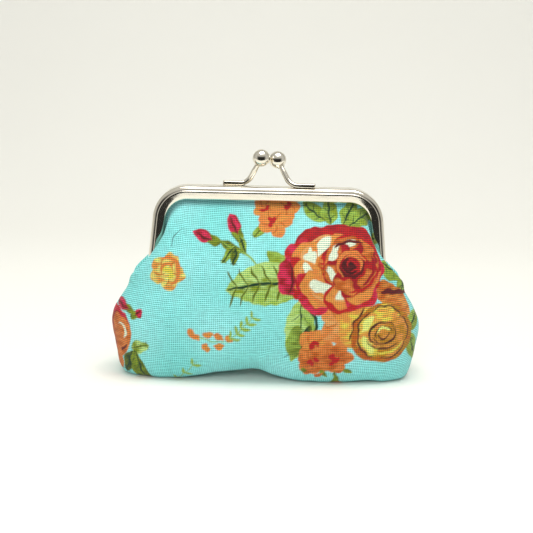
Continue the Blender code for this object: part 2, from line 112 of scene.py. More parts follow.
def hermite(values, slopes, k, t, gap=1.0):
    """A smooth curve's points between values k and k + 1, which stand a gap apart."""
    return (
        values[k] * (1 + 2 * t) * (1 - t) ** 2 + slopes[k] * gap * t * (1 - t) ** 2
        + values[k + 1] * t * t * (3 - 2 * t) + slopes[k + 1] * gap * t * t * (t - 1)
    )  # fmt: skip


def steady_curve(values, at):
    """A curve through values at 0, 1, 2 ... that never overshoots them."""
    steps = np.diff(values)
    slopes = np.zeros(len(values))
    same = steps[:-1] * steps[1:] > 0
    both = np.where(same, steps[:-1] + steps[1:], 1.0)
    slopes[1:-1] = np.where(same, 2 * steps[:-1] * steps[1:] / both, 0.0)
    slopes[0], slopes[-1] = steps[0], steps[-1]
    k = np.clip(at.astype(int), 0, len(values) - 2)
    return hermite(values, slopes, k, at - k)


def waves(points, scale, seed, count=14):
    """Smooth irregularity from -1 to 1 over points, the same on every run."""
    rng = np.random.default_rng(seed)
    axes = rng.normal(size=(count, points.shape[-1]))
    axes /= np.linalg.norm(axes, axis=1)[:, None]
    rates = 2 * math.pi / scale * rng.uniform(0.6, 1.5, count)
    shifts = rng.uniform(0, 2 * math.pi, count)
    total = np.zeros(points.shape[:-1])
    for axis, rate, shift in zip(axes, rates, shifts):
        total += np.sin(points @ axis * rate + shift)
    return total / math.sqrt(count)


def run_lengths(line):
    """How far along a line each of its points is."""
    return np.concatenate([[0], np.cumsum(np.linalg.norm(np.diff(line, axis=0), axis=1))])


def evenly(line, shares):
    """Points at shares of a line's length."""
    lengths = run_lengths(line)
    at = shares * lengths[-1]
    return np.stack([np.interp(at, lengths, line[:, k]) for k in range(3)], -1)


# --- frame outline ---
def corner_centre():
    z = RAIL_TOP_Z - CORNER_RADIUS * (1.0 - math.sin(ARM_SLOPE))
    x = HALF_WIDTH_AT_HINGE - (z - HINGE_Z) * math.tan(ARM_SLOPE)
    return x - CORNER_RADIUS * math.cos(ARM_SLOPE), RAIL_TOP_Z - CORNER_RADIUS


def frame_line(fraction, inset):
    """Points (x, z) and inward directions along the frame, 0 at the left arm's end, 1 at the right."""
    centre_x, centre_z = corner_centre()
    turn = math.pi / 2 - ARM_SLOPE

    def arm_length(i):
        start_z = centre_z + (CORNER_RADIUS - i) * math.sin(ARM_SLOPE)
        return (start_z - ARM_END_Z) / math.cos(ARM_SLOPE)

    arc = (CORNER_RADIUS - MOUTH_INSET) * turn
    half = centre_x + arc + arm_length(MOUTH_INSET)
    along = np.abs(fraction - 0.5) * 2 * half
    side = np.where(fraction < 0.5, -1.0, 1.0)
    on_rail = np.clip(along, 0, centre_x)
    angle = math.pi / 2 - np.clip((along - centre_x) / arc, 0, 1) * turn
    down = np.clip((along - centre_x - arc) / arm_length(MOUTH_INSET), 0, 1) * arm_length(inset)
    x = on_rail + (CORNER_RADIUS - inset) * np.cos(angle) + math.sin(ARM_SLOPE) * down
    z = centre_z + (CORNER_RADIUS - inset) * np.sin(angle) - math.cos(ARM_SLOPE) * down
    return np.stack([side * x, z], -1), np.stack([-side * np.cos(angle), -np.sin(angle)], -1)


# --- cloth surfaces ---
def station_row(level, fractions):
    """One level line of the lower pouch's front, with evenly spaced points."""
    height, half_width, half_depth, square = (steady_curve(c, np.array([level]))[0] for c in STATIONS.T)
    u = np.linspace(0, 0.8, 120)
    front = np.stack([u, (1 - u**square) ** (1 / square)], -1)
    v = np.linspace(front[-1, 1], 0, 160)[1:]
    sides = np.stack([(1 - v**square) ** (1 / square), v], -1)
    quarter = np.concatenate([front, sides])
    x = half_width * quarter[:, 0]
    depth = SEAM_HALF_GAP + (half_depth - SEAM_HALF_GAP) * quarter[:, 1]
    near_seam = np.exp(-((depth / DIMPLE_REACH) ** 2)) * quarter[:, 0]
    x = x - DIMPLE_DEPTH * smooth(height, DIMPLE_START_Z, HINGE_Z) * near_seam
    tucked = SEAM_TUCK * smooth(height, 1.0, 8.0) * (1 - smooth(height, 24.0, HINGE_Z))
    x = x - tucked * np.exp(-((depth / SEAM_TUCK_REACH) ** 2))
    z = height - NOTCH_DEPTH * smooth(height, STATIONS[-2][0], STATIONS[-1][0]) * near_seam
    line = np.stack([x, -depth, z], -1)
    return evenly(np.concatenate([(line * (-1, 1, 1))[::-1], line[1:]]), fractions)


def normals_of(grid):
    up = np.gradient(grid, axis=0)
    right = np.gradient(grid, axis=1)
    found = np.cross(right, up)
    return found / np.maximum(np.linalg.norm(found, axis=-1), 1e-9)[..., None]


def lower_rows(inset, count, fractions):
    """The lower pouch from the base's seam up to the hinge line, on the front."""
    levels = np.linspace(0, len(STATIONS) - 1, 400)
    middle = np.stack([steady_curve(STATIONS[:, k], levels) for k in (2, 0)], -1)
    lengths = run_lengths(middle)
    chosen = np.interp(np.linspace(0, lengths[-1], count), lengths, levels)
    rows = np.stack([station_row(level, fractions) for level in chosen])
    if inset:
        moved = rows - normals_of(rows) * inset
        moved[..., 1] = np.minimum(moved[..., 1], -SEAM_HALF_GAP)
        base = 1 - smooth(rows[..., 2], 0.0, 3.0)
        moved[..., 2] += (np.maximum(rows[..., 2] + inset, inset) - moved[..., 2]) * base
        top = smooth(rows[..., 2], HINGE_Z - 6.0, HINGE_Z - 0.3)
        moved[..., 2] += (rows[..., 2] - moved[..., 2]) * top
        rows = moved
    return rows


def upper_rows(inset, count, fractions, lows):
    """The same cloth from the hinge line up, over the arms and into the frame's channel."""
    edge, _ = frame_line(fractions, CLOTH_EDGE_INSET)
    mouth, inward = frame_line(fractions, MOUTH_INSET)
    arm = np.abs(inward[:, 0])[:, None]
    side = np.where(lows[:, :1] < 0, -1.0, 1.0)
    face = CLOTH_FACE_DEPTH - CHANNEL_SHARE * inset
    mouth = mouth + inward * MOUTH_SHIFT_PER_INSET * inset
    start = np.stack([mouth[:, 0], np.full(len(mouth), -face), mouth[:, 1]], -1)
    reach = REACH_AT_RAIL + (REACH_AT_ARM + REACH_PER_INSET * inset - REACH_AT_RAIL) * arm
    forward = FORWARD_AT_RAIL - FORWARD_LESS_PER_INSET * inset
    forward = forward + (FORWARD_AT_ARM + FORWARD_PER_INSET * inset) * arm
    leave = start + np.concatenate([inward[:, :1] * reach, -forward, inward[:, 1:] * reach], 1)
    low_down = np.clip((SWELL_FROM_Z - start[:, 2:]) / (SWELL_FROM_Z - ARM_END_Z), 0, 1)
    full = smooth(arm, 0.3, 1.0) * low_down * max(1.0 - inset, 0.0)  # only the outer cloth swells
    leave += full * np.concatenate([side * SWELL_OUT, 0 * side - SWELL_FORWARD, 0 * side], 1)
    lobe = arm * smooth(np.abs(lows[:, :1]), LOBE_FROM_X, LOBE_TO_X)
    rise = RISE_SHARE * np.maximum(start[:, 2:] - lows[:, 2:], 0.0)
    plain = lows + np.concatenate([-side * arm * LEAN_PER_INSET * inset, -LOBE_DEPTH * lobe, rise], 1)
    pull = np.array(SEAM_PULL) + np.array(SEAM_PULL_PER_INSET) * inset
    offset = np.concatenate([side * pull[0], 0 * side + pull[1], 0 * side + pull[2]], 1)
    at_seam = 1 - smooth(np.minimum(fractions, 1 - fractions), 0.0, SEAM_SHARE)[:, None]
    plain += np.concatenate([side * SWELL_LOW * full, 0 * full, 0 * full], 1)
    arrive = plain + (lows + offset - plain) * at_seam
    t = np.linspace(0, 1, 60)[:, None, None]
    path = (
        start * (1 - t) ** 3 + 3 * leave * t * (1 - t) ** 2 + 3 * arrive * t * t * (1 - t) + lows * t**3
    )[::-1]
    first = np.stack([edge[:, 0], np.full(len(edge), -face), edge[:, 1]], -1)
    into = start + (first - start) * np.linspace(0, 1, 9)[1:, None, None]
    path = np.concatenate([path, into])
    rows = np.empty((count, len(fractions), 3))
    for k in range(len(fractions)):
        rows[:, k] = evenly(path[:, k], np.linspace(0, 1, count))
    return rows[1:]


RELAX_REACH, RELAX_ROUNDS, RELAX_UP, RELAX_ACROSS = 0.22, 60, 0.5, 0.35


def relax_rows(grid, hinge_row, reach):
    """Take the crease out of the hinge line and out of the corners round it."""
    rows = np.arange(len(grid))
    weight = (1 - smooth(np.abs(rows - hinge_row), reach * 0.4, reach))[1:-1, None, None]
    for _ in range(RELAX_ROUNDS):
        middle = (grid[:-2] + grid[2:]) / 2
        grid[1:-1] += (middle - grid[1:-1]) * RELAX_UP * weight
        across = (grid[:, :-2] + grid[:, 2:]) / 2
        grid[1:-1, 1:-1] += (across[1:-1] - grid[1:-1, 1:-1]) * RELAX_ACROSS * weight
    return grid


ARCH_MIDDLE, ARCH_HALF, ARCH_LIFT, ARCH_FADE_Z, ARCH_PUSH = -8.0, 22.0, 3.3, 9.0, 0.6
FOLD_X, FOLD_WIDTH, FOLD_LIFT = -3.3, 4.0, 0.8
SLACK = ((0.24, 21.0), (0.07, 7.0))  # height and size of the cloth's unevenness


def base_arch(points):
    """How far the middle of the base stands off the floor: the cloth arches there, with one fold."""
    across = np.clip(np.abs(points[..., 0] - ARCH_MIDDLE) / ARCH_HALF, 0, 1)
    fold = FOLD_LIFT * np.exp(-(((points[..., 0] - FOLD_X) / FOLD_WIDTH) ** 2))
    return (ARCH_LIFT * (1 - across**2) ** 2 + fold) * np.exp(-((points[..., 2] / ARCH_FADE_Z) ** 2))


CREASES = (  # from x, z to x, z on the front, width and height of each soft fold
    (-4, 4, -19, 15, 1.7, 0.55), (-3, 5, 9, 17, 1.6, 0.5), (-24, 3, -37, 12, 1.8, 0.45),
    (-40, 5, -50, 17, 2.0, 0.4), (8, 4, 22, 12, 1.7, 0.45), (34, 3, 47, 13, 2.0, 0.4),
    (-40, 50, -32, 61, 1.8, 0.2), (40, 50, 33, 61, 1.8, 0.2), (-2, 5, -5, 13, 1.2, 0.4),
    (14, 8, 3, 20, 1.5, -0.3),
)  # fmt: skip


def settle(grid, seed):
    """Add the slack of real cloth: soft folds at the base and sides, and slight unevenness."""
    normals = normals_of(grid)
    x, z = grid[..., 0], grid[..., 2]
    push = np.zeros(x.shape)
    mirror = 1.0 if seed % 2 else -1.0
    for x0, z0, x1, z1, width, height in CREASES:
        axis = np.array([(x1 - x0) * mirror, z1 - z0])
        length = np.linalg.norm(axis)
        axis /= length
        along = (x - x0 * mirror) * axis[0] + (z - z0) * axis[1]
        off = (x - x0 * mirror) * axis[1] - (z - z0) * axis[0]
        off = off + 1.1 * np.sin(along / length * 2.6)
        taper = smooth(along, -3.0, length * 0.35) * (1 - smooth(along, length * 0.6, length + 4.0))
        ridge = np.exp(-((off / width) ** 2)) - 0.5 * np.exp(-((off / width / 1.9) ** 2))
        push += height * taper * ridge
    for k, (height, size) in enumerate(SLACK):
        push += height * waves(grid, size, seed + k)
    free = 1 - smooth(z, 33.0, 52.0) * smooth(np.arange(len(grid))[:, None] / len(grid), 0.8, 0.9)
    columns = np.arange(grid.shape[1]) / (grid.shape[1] - 1)
    seam = smooth(np.minimum(columns, 1 - columns), 0.0, 0.04)[None, :]
    grid = grid + normals * (push * free * seam)[..., None]
    grid[..., 2] = np.maximum(grid[..., 2], 0.0)
    arch = base_arch(grid)
    grid[..., 2] += arch
    grid[..., 1] += ARCH_PUSH * arch * smooth(-grid[..., 1], 4.0, 12.0)
    grid[..., 1] = np.minimum(grid[..., 1], -SEAM_HALF_GAP * 0.5)
    return grid


def layer_grid(inset, columns, low_count, high_count, seed, trim):
    """One layer's front, base to channel: rows of points with evenly spaced columns."""
    fractions = np.linspace(trim, 1 - trim, columns)
    low = lower_rows(inset, low_count, fractions)
    high = upper_rows(inset, high_count, fractions, low[-1])
    grid = relax_rows(np.concatenate([low, high]), low_count - 1, low_count * RELAX_REACH)
    return settle(grid, seed)


FLAT_ROWS, FLAT_COLUMNS, FLAT_ROUNDS, FLAT_STEP = 44, 57, 2500, 0.24


def flat_pattern(grid):
    """The cloth laid flat: a coarse copy of the grid relaxed until its edges have their lengths."""
    rows = np.unique(np.linspace(0, len(grid) - 1, FLAT_ROWS).round().astype(int))
    columns = np.unique(np.linspace(0, grid.shape[1] - 1, FLAT_COLUMNS).round().astype(int))
    coarse = grid[np.ix_(rows, columns)]
    middle = coarse[:, len(columns) // 2]
    climb = run_lengths(middle)
    widths = np.linalg.norm(np.diff(coarse, axis=1), axis=-1).sum(1)
    share = np.linspace(-0.5, 0.5, len(columns))
    hinge = np.argmin(np.abs(middle[:, 2] - HINGE_Z))
    flat = np.zeros(coarse.shape[:2] + (2,))
    flat[: hinge + 1, :, 0] = widths[: hinge + 1, None] * share
    flat[: hinge + 1, :, 1] = climb[: hinge + 1, None]
    guess = climb[hinge] + (coarse[-1, :, 2] - HINGE_Z) * 1.1 + 5.0
    top = np.stack([coarse[-1, :, 0] * 1.2, guess], -1)
    for k in range(hinge + 1, len(rows)):
        mix = (k - hinge) / (len(rows) - 1 - hinge)
        flat[k] = flat[hinge] * (1 - mix) + top * mix
    links = []
    for di, dj in ((0, 1), (1, 0), (1, 1), (1, -1)):
        a = (slice(0, len(rows) - di), slice(max(-dj, 0), len(columns) - max(dj, 0)))
        b = (slice(di, None), slice(max(dj, 0), len(columns) + min(dj, 0)))
        links.append((a, b, np.linalg.norm(coarse[a] - coarse[b], axis=-1)))
    for _ in range(FLAT_ROUNDS):
        step = np.zeros_like(flat)
        for a, b, rest in links:
            gap = flat[b] - flat[a]
            size = np.maximum(np.linalg.norm(gap, axis=-1), 1e-6)
            pull = gap * ((size - rest) / size * 0.5)[..., None]
            step[a] += pull
            step[b] -= pull
        flat += step * FLAT_STEP
    flat = spread(flat, rows, np.arange(len(grid)))
    return spread(flat.transpose(1, 0, 2), columns, np.arange(grid.shape[1])).transpose(1, 0, 2)


def spread(values, known, wanted):
    """Smooth values along the first axis from the known positions to the wanted ones."""
    k = np.clip(np.searchsorted(known, wanted, side="right") - 1, 0, len(known) - 2)
    gap = (known[k + 1] - known[k])[:, None, None]
    slopes = np.gradient(values, known.astype(float), axis=0)
    return hermite(values, slopes, k, (wanted - known[k])[:, None, None] / gap, gap)


# --- meshes ---
def new_mesh(name, points, faces, material):
    mesh = bpy.data.meshes.new(name)
    mesh.from_pydata((np.asarray(points, float) * MM).tolist(), [], faces)
    mesh.update()
    mesh.shade_smooth()
    thing = bpy.data.objects.new(name, mesh)
    bpy.context.scene.collection.objects.link(thing)
    mesh.materials.append(material)
    return thing


def grid_faces(rows, columns, start=0, flip=False):
    i, j = np.meshgrid(np.arange(rows - 1), np.arange(columns - 1), indexing="ij")
    a = start + i * columns + j
    quads = np.stack([a, a + 1, a + columns + 1, a + columns], -1).reshape(-1, 4)
    return (quads[:, ::-1] if flip else quads).tolist()


def sheet_mesh(name, grid, thickness, facing, material, skip=INNER_SKIP):
    """A closed thin sheet: a fine outer face, a coarser inner face and a rim that joins them."""
    rows, columns = grid.shape[:2]
    inner_rows, inner_columns = np.arange(0, rows, skip), np.arange(0, columns, skip)
    inner = (grid - normals_of(grid) * thickness)[np.ix_(inner_rows, inner_columns)]
    points = np.concatenate([grid.reshape(-1, 3), inner.reshape(-1, 3)])
    if facing > 0:
        points = points * (1, -1, 1)
    flip = facing > 0
    faces = grid_faces(rows, columns, 0, flip)
    base, n = rows * columns, len(inner_columns)
    faces += grid_faces(len(inner_rows), n, base, not flip)

    def fine(i, j):
        return i * columns + j

    def coarse(i, j):
        return base + i * n + j

    rim = []
    for j in range(n - 1):
        for edge, i in ((0, 0), (rows - 1, len(inner_rows) - 1)):
            line = [fine(edge, j * skip + k) for k in range(skip + 1)]
            rim.append((line, coarse(i, j), coarse(i, j + 1), edge == 0))
    for i in range(len(inner_rows) - 1):
        for edge, j in ((0, 0), (columns - 1, n - 1)):
            line = [fine(i * skip + k, edge) for k in range(skip + 1)]
            rim.append((line, coarse(i, j), coarse(i + 1, j), edge != 0))
    for line, near, far, forward in rim:
        loop = [far, near, *line]
        faces.append(loop if forward == flip else loop[::-1])
    return new_mesh(name, points, faces, material)


def tube_mesh(name, path, radius, sides, material):
    """A closed round tube along a path, of one radius or of one for each point."""
    path = np.asarray(path, float)
    tangent = np.gradient(path, axis=0)
    tangent /= np.linalg.norm(tangent, axis=1)[:, None]
    side = np.cross(tangent, (0.0, 1.0, 0.0))
    side /= np.maximum(np.linalg.norm(side, axis=1), 1e-9)[:, None]
    up = np.cross(side, tangent)
    angles = np.linspace(0, 2 * math.pi, sides, endpoint=False)
    size = np.broadcast_to(radius, len(path))
    ring = side[:, None] * np.cos(angles)[:, None] + up[:, None] * np.sin(angles)[:, None]
    points = path[:, None] + ring * size[:, None, None]
    return new_mesh(name, *loft(points), material)


def loft(rings):
    """Points and faces of a closed solid through a run of closed rings, with flat ends."""
    count, sides = rings.shape[:2]
    faces = []
    for i in range(count - 1):
        for j in range(sides):
            k = (j + 1) % sides
            faces.append((i * sides + j, i * sides + k, (i + 1) * sides + k, (i + 1) * sides + j))
    faces.append(tuple(range(sides))[::-1])
    faces.append(tuple((count - 1) * sides + j for j in range(sides)))
    return rings.reshape(-1, 3), faces


def joined(name, parts):
    """Several meshes as one piece, with outward normals."""
    work = bmesh.new()
    for part in parts:
        work.from_mesh(part.data)
    bmesh.ops.recalc_face_normals(work, faces=work.faces)
    mesh = bpy.data.meshes.new(name)
    work.to_mesh(mesh)
    work.free()
    mesh.materials.append(parts[0].data.materials[0])
    for part in parts:
        bpy.data.objects.remove(part, do_unlink=True)
    thing = bpy.data.objects.new(name, mesh)
    bpy.context.scene.collection.objects.link(thing)
    return thing


def keep_corners(thing, degrees):
    """Smooth shading, with edges sharper than this left crisp."""
    thing.data.shade_smooth()
    thing.data.set_sharp_from_angle(angle=math.radians(degrees))


# --- materials ---
def linear(rgb):
    """Linear colour from 0-255 display values."""
    c = np.asarray(rgb, float) / 255
    return np.where(c <= 0.04045, c / 12.92, ((c + 0.055) / 1.055) ** 2.4)


class Look:
    """A node material, with short calls to build it."""

    def __init__(self, name, roughness, metallic=0.0):
        self.made = bpy.data.materials.new(name)
        self.made.use_nodes = True
        self.tree = self.made.node_tree
        self.shader = self.tree.nodes["Principled BSDF"]
        self.shader.inputs["Roughness"].default_value = roughness
        self.shader.inputs["Metallic"].default_value = metallic

    def node(self, kind, **values):
        made = self.tree.nodes.new(kind)
        for key, value in values.items():
            setattr(made, key, value)
        return made

    def feed(self, socket, value):
        if isinstance(value, bpy.types.NodeSocket):
            self.tree.links.new(value, socket)
        else:
            socket.default_value = value

    def math(self, operation, a, b=0.0, c=0.0):
        made = self.node("ShaderNodeMath", operation=operation)
        for socket, value in zip(made.inputs, (a, b, c)):
            self.feed(socket, value)
        return made.outputs[0]

    def times(self, a, b):
        return self.math("MULTIPLY", a, b)

    def plus(self, a, b):
        return self.math("ADD", a, b)

    def tinted(self, a, b):
        return self.mix(1.0, a, b, "MULTIPLY")

    def mix(self, factor, a, b, blend="MIX"):
        made = self.node("ShaderNodeMix", data_type="RGBA", blend_type=blend)
        self.feed(made.inputs[0], factor)
        for socket, value in ((made.inputs[6], a), (made.inputs[7], b)):
            if not isinstance(value, bpy.types.NodeSocket):
                value = (*value, 1.0)
            self.feed(socket, value)
        return made.outputs[2]

    def noise(self, scale, detail=2.0, vector=None, distortion=0.0):
        made = self.node("ShaderNodeTexNoise")
        made.inputs["Scale"].default_value = scale
        made.inputs["Detail"].default_value = detail
        made.inputs["Distortion"].default_value = distortion
        self.feed(made.inputs["Vector"], vector or self.place())
        return made.outputs["Fac"]

    def place(self):
        return self.node("ShaderNodeTexCoord").outputs["Object"]

    def spread(self, value, low, high, to_low=0.0, to_high=1.0):
        made = self.node("ShaderNodeMapRange")
        for socket, number in zip(made.inputs, (value, low, high, to_low, to_high)):
            self.feed(socket, number)
        return made.outputs[0]

    def scaled(self, vector, scale):
        made = self.node("ShaderNodeMapping")
        self.feed(made.inputs["Vector"], vector)
        made.inputs["Scale"].default_value = scale
        return made.outputs[0]

    def bump(self, height, distance, strength=1.0):
        made = self.node("ShaderNodeBump")
        made.inputs["Strength"].default_value = strength
        made.inputs["Distance"].default_value = distance
        self.feed(made.inputs["Height"], height)
        self.feed(self.shader.inputs["Normal"], made.outputs["Normal"])

    def colour(self, value):
        self.feed(self.shader.inputs["Base Color"], value)


def weave(look, pitch_mm, slub):
    """Plain weave over the cloth's flat coordinates: (height, hole, furrow, thread shade)."""
    flat = look.node("ShaderNodeAttribute", attribute_name="flat").outputs["Vector"]
    wobble = look.noise(0.35, 2.0, flat)
    parts = look.node("ShaderNodeSeparateXYZ")
    look.feed(parts.inputs[0], flat)
    drift = look.times(look.math("SUBTRACT", wobble, 0.5), slub)
    u, v = (look.plus(look.math("DIVIDE", parts.outputs[k], pitch_mm), drift) for k in (0, 1))
    sin_u, sin_v = (look.math("ABSOLUTE", look.math("SINE", look.times(t, math.pi))) for t in (u, v))
    over = look.plus(look.math("FLOOR", u), look.math("FLOOR", v))
    over = look.math("ABSOLUTE", look.math("SINE", look.times(over, math.pi / 2)))
    crossing = look.times(over, 0.38)
    weft = look.times(look.math("POWER", sin_v, 0.6), look.plus(0.62, crossing))
    warp = look.times(look.math("POWER", sin_u, 0.6), look.math("SUBTRACT", 0.8, crossing))
    gap, furrow = (look.math("POWER", look.math("SUBTRACT", 1.0, t), 1.1) for t in (sin_u, sin_v))
    weft_shade = look.noise(1.0, 3.0, look.scaled(flat, (0.35, 1.0 / pitch_mm, 1.0)))
    warp_shade = look.noise(1.0, 2.0, look.scaled(flat, (1.0 / pitch_mm, 0.3, 1.0)))
    shade = look.plus(look.times(weft_shade, 0.65), look.times(warp_shade, 0.35))
    return look.math("MAXIMUM", weft, warp), look.times(gap, furrow), furrow, shade


def canvas_look():
    look = Look("printed_canvas", 0.82)
    # the print attribute holds the print's colours with painted shade beside the channel
    printed = look.node("ShaderNodeAttribute", attribute_name="print").outputs["Color"]
    height, hole, furrow, shade = weave(look, 0.68, 0.5)
    tone = look.spread(shade, 0.3, 0.7, 0.80, 1.08)
    thread = look.tinted(printed, look.mix(tone, (0, 0, 0), (1, 1, 1)))
    # painted shade: the furrows between threads and the holes through the weave are darkened in the colour
    between = look.mix(furrow, thread, look.tinted(thread, (0.36, 0.70, 0.69)))
    painted_hole_shade = look.tinted(thread, (0.05, 0.32, 0.30))
    look.colour(look.mix(look.math("MINIMUM", look.times(hole, 2.4), 1.0), between, painted_hole_shade))
    look.feed(look.shader.inputs["Roughness"], look.spread(shade, 0.2, 0.8, 0.74, 0.92))
    look.shader.inputs["Sheen Weight"].default_value = 0.12
    look.shader.inputs["Sheen Roughness"].default_value = 0.5
    look.bump(look.plus(height, look.times(look.noise(900.0, 2.0), 0.25)), 0.00016, 0.8)
    return look.made


def lining_look():
    look = Look("cotton_lining", 0.85)
    height, hole, _, shade = weave(look, 0.42, 0.35)
    base = look.mix(look.spread(shade, 0.3, 0.7), (0.62, 0.58, 0.47), (0.78, 0.75, 0.66))
    # painted shade: the holes through the weave are darkened in the colour
    look.colour(look.mix(look.times(hole, 0.8), base, (0.34, 0.30, 0.22)))
    look.feed(look.shader.inputs["Roughness"], look.spread(shade, 0.2, 0.8, 0.78, 0.92))
    look.shader.inputs["Sheen Weight"].default_value = 0.08
    look.bump(height, 0.00009, 0.7)
    return look.made


def fleece_look():
    look = Look("fleece", 0.95)
    fluff = look.noise(420.0, 6.0, distortion=1.2)
    look.colour(look.mix(look.spread(fluff, 0.3, 0.7), (0.68, 0.67, 0.63), (0.90, 0.89, 0.86)))
    look.feed(look.shader.inputs["Roughness"], look.spread(fluff, 0.2, 0.8, 0.88, 1.0))
    look.shader.inputs["Sheen Weight"].default_value = 0.3
    look.bump(fluff, 0.0004, 0.9)
    return look.made


def metal_look():
    look = Look("nickel_plate", 0.07, 1.0)
    cloud = look.noise(55.0, 3.0)
    fine = look.noise(700.0, 2.0, look.scaled(look.place(), (0.25, 1.0, 1.0)))
    specks = look.spread(look.noise(320.0, 4.0), 0.70, 0.78)
    plate = look.mix(look.spread(cloud, 0.3, 0.7), (0.80, 0.745, 0.63), (0.87, 0.825, 0.73))
    look.colour(look.mix(look.times(specks, 0.55), plate, (0.36, 0.31, 0.24)))
    cloudy, brushed = look.spread(cloud, 0.35, 0.75, 0.05, 0.10), look.spread(fine, 0.45, 0.8, 0.0, 0.05)
    rough = look.plus(look.plus(cloudy, brushed), look.times(specks, 0.25))
    look.feed(look.shader.inputs["Roughness"], rough)
    ripple = look.plus(look.noise(120.0, 1.0), look.times(fine, 0.12))
    look.bump(ripple, 0.00005, 0.5)
    return look.made


def thread_look():
    look = Look("seam_thread", 0.7)
    twist = look.node("ShaderNodeTexWave", bands_direction="DIAGONAL")
    twist.inputs["Scale"].default_value = 900.0
    twist.inputs["Distortion"].default_value = 0.6
    look.feed(twist.inputs["Vector"], look.place())
    look.colour(look.mix(twist.outputs["Fac"], (0.10, 0.42, 0.40), (0.30, 0.74, 0.71)))
    look.feed(look.shader.inputs["Roughness"], look.spread(twist.outputs["Fac"], 0.0, 1.0, 0.62, 0.8))
    look.bump(twist.outputs["Fac"], 0.00008, 0.8)
    return look.made


def paper_look():
    look = Look("paper_cord", 0.9)
    twist = look.node("ShaderNodeTexWave", bands_direction="DIAGONAL")
    twist.inputs["Scale"].default_value = 420.0
    twist.inputs["Distortion"].default_value = 1.5
    look.feed(twist.inputs["Vector"], look.place())
    fibres = look.noise(1500.0, 3.0)
    tone = look.times(look.plus(twist.outputs["Fac"], fibres), 0.5)
    look.colour(look.mix(tone, (0.30, 0.20, 0.11), (0.62, 0.48, 0.31)))
    look.feed(look.shader.inputs["Roughness"], look.spread(fibres, 0.2, 0.8, 0.8, 1.0))
    look.bump(tone, 0.00015, 0.9)
    return look.made


LOOKS = {
    "printed_canvas": canvas_look(), "cotton_lining": lining_look(), "fleece": fleece_look(),
    "metal": metal_look(), "thread": thread_look(), "paper": paper_look(),
}  # fmt: skip

# --- the print ---
TURQUOISE, TURQUOISE_DEEP = (170, 242, 243), (146, 232, 230)
ORANGE, AMBER, RUST, PEACH = (244, 132, 60), (244, 150, 64), (206, 92, 16), (248, 166, 96)
RED, CRIMSON, PINK, MAROON, WINE = (204, 18, 22), (172, 2, 24), (236, 40, 84), (66, 4, 10), (106, 4, 14)
CREAM, LEMON, YELLOW = (252, 248, 222), (252, 242, 128), (246, 214, 76)
MUSTARD, BROWN, HAIR = (202, 130, 8), (74, 18, 14), (60, 96, 96)
PALE_LEAF, LEAF, OLIVE = (206, 228, 136), (168, 192, 78), (146, 158, 30)
DARK_OLIVE, FOREST = (104, 112, 6), (8, 56, 30)


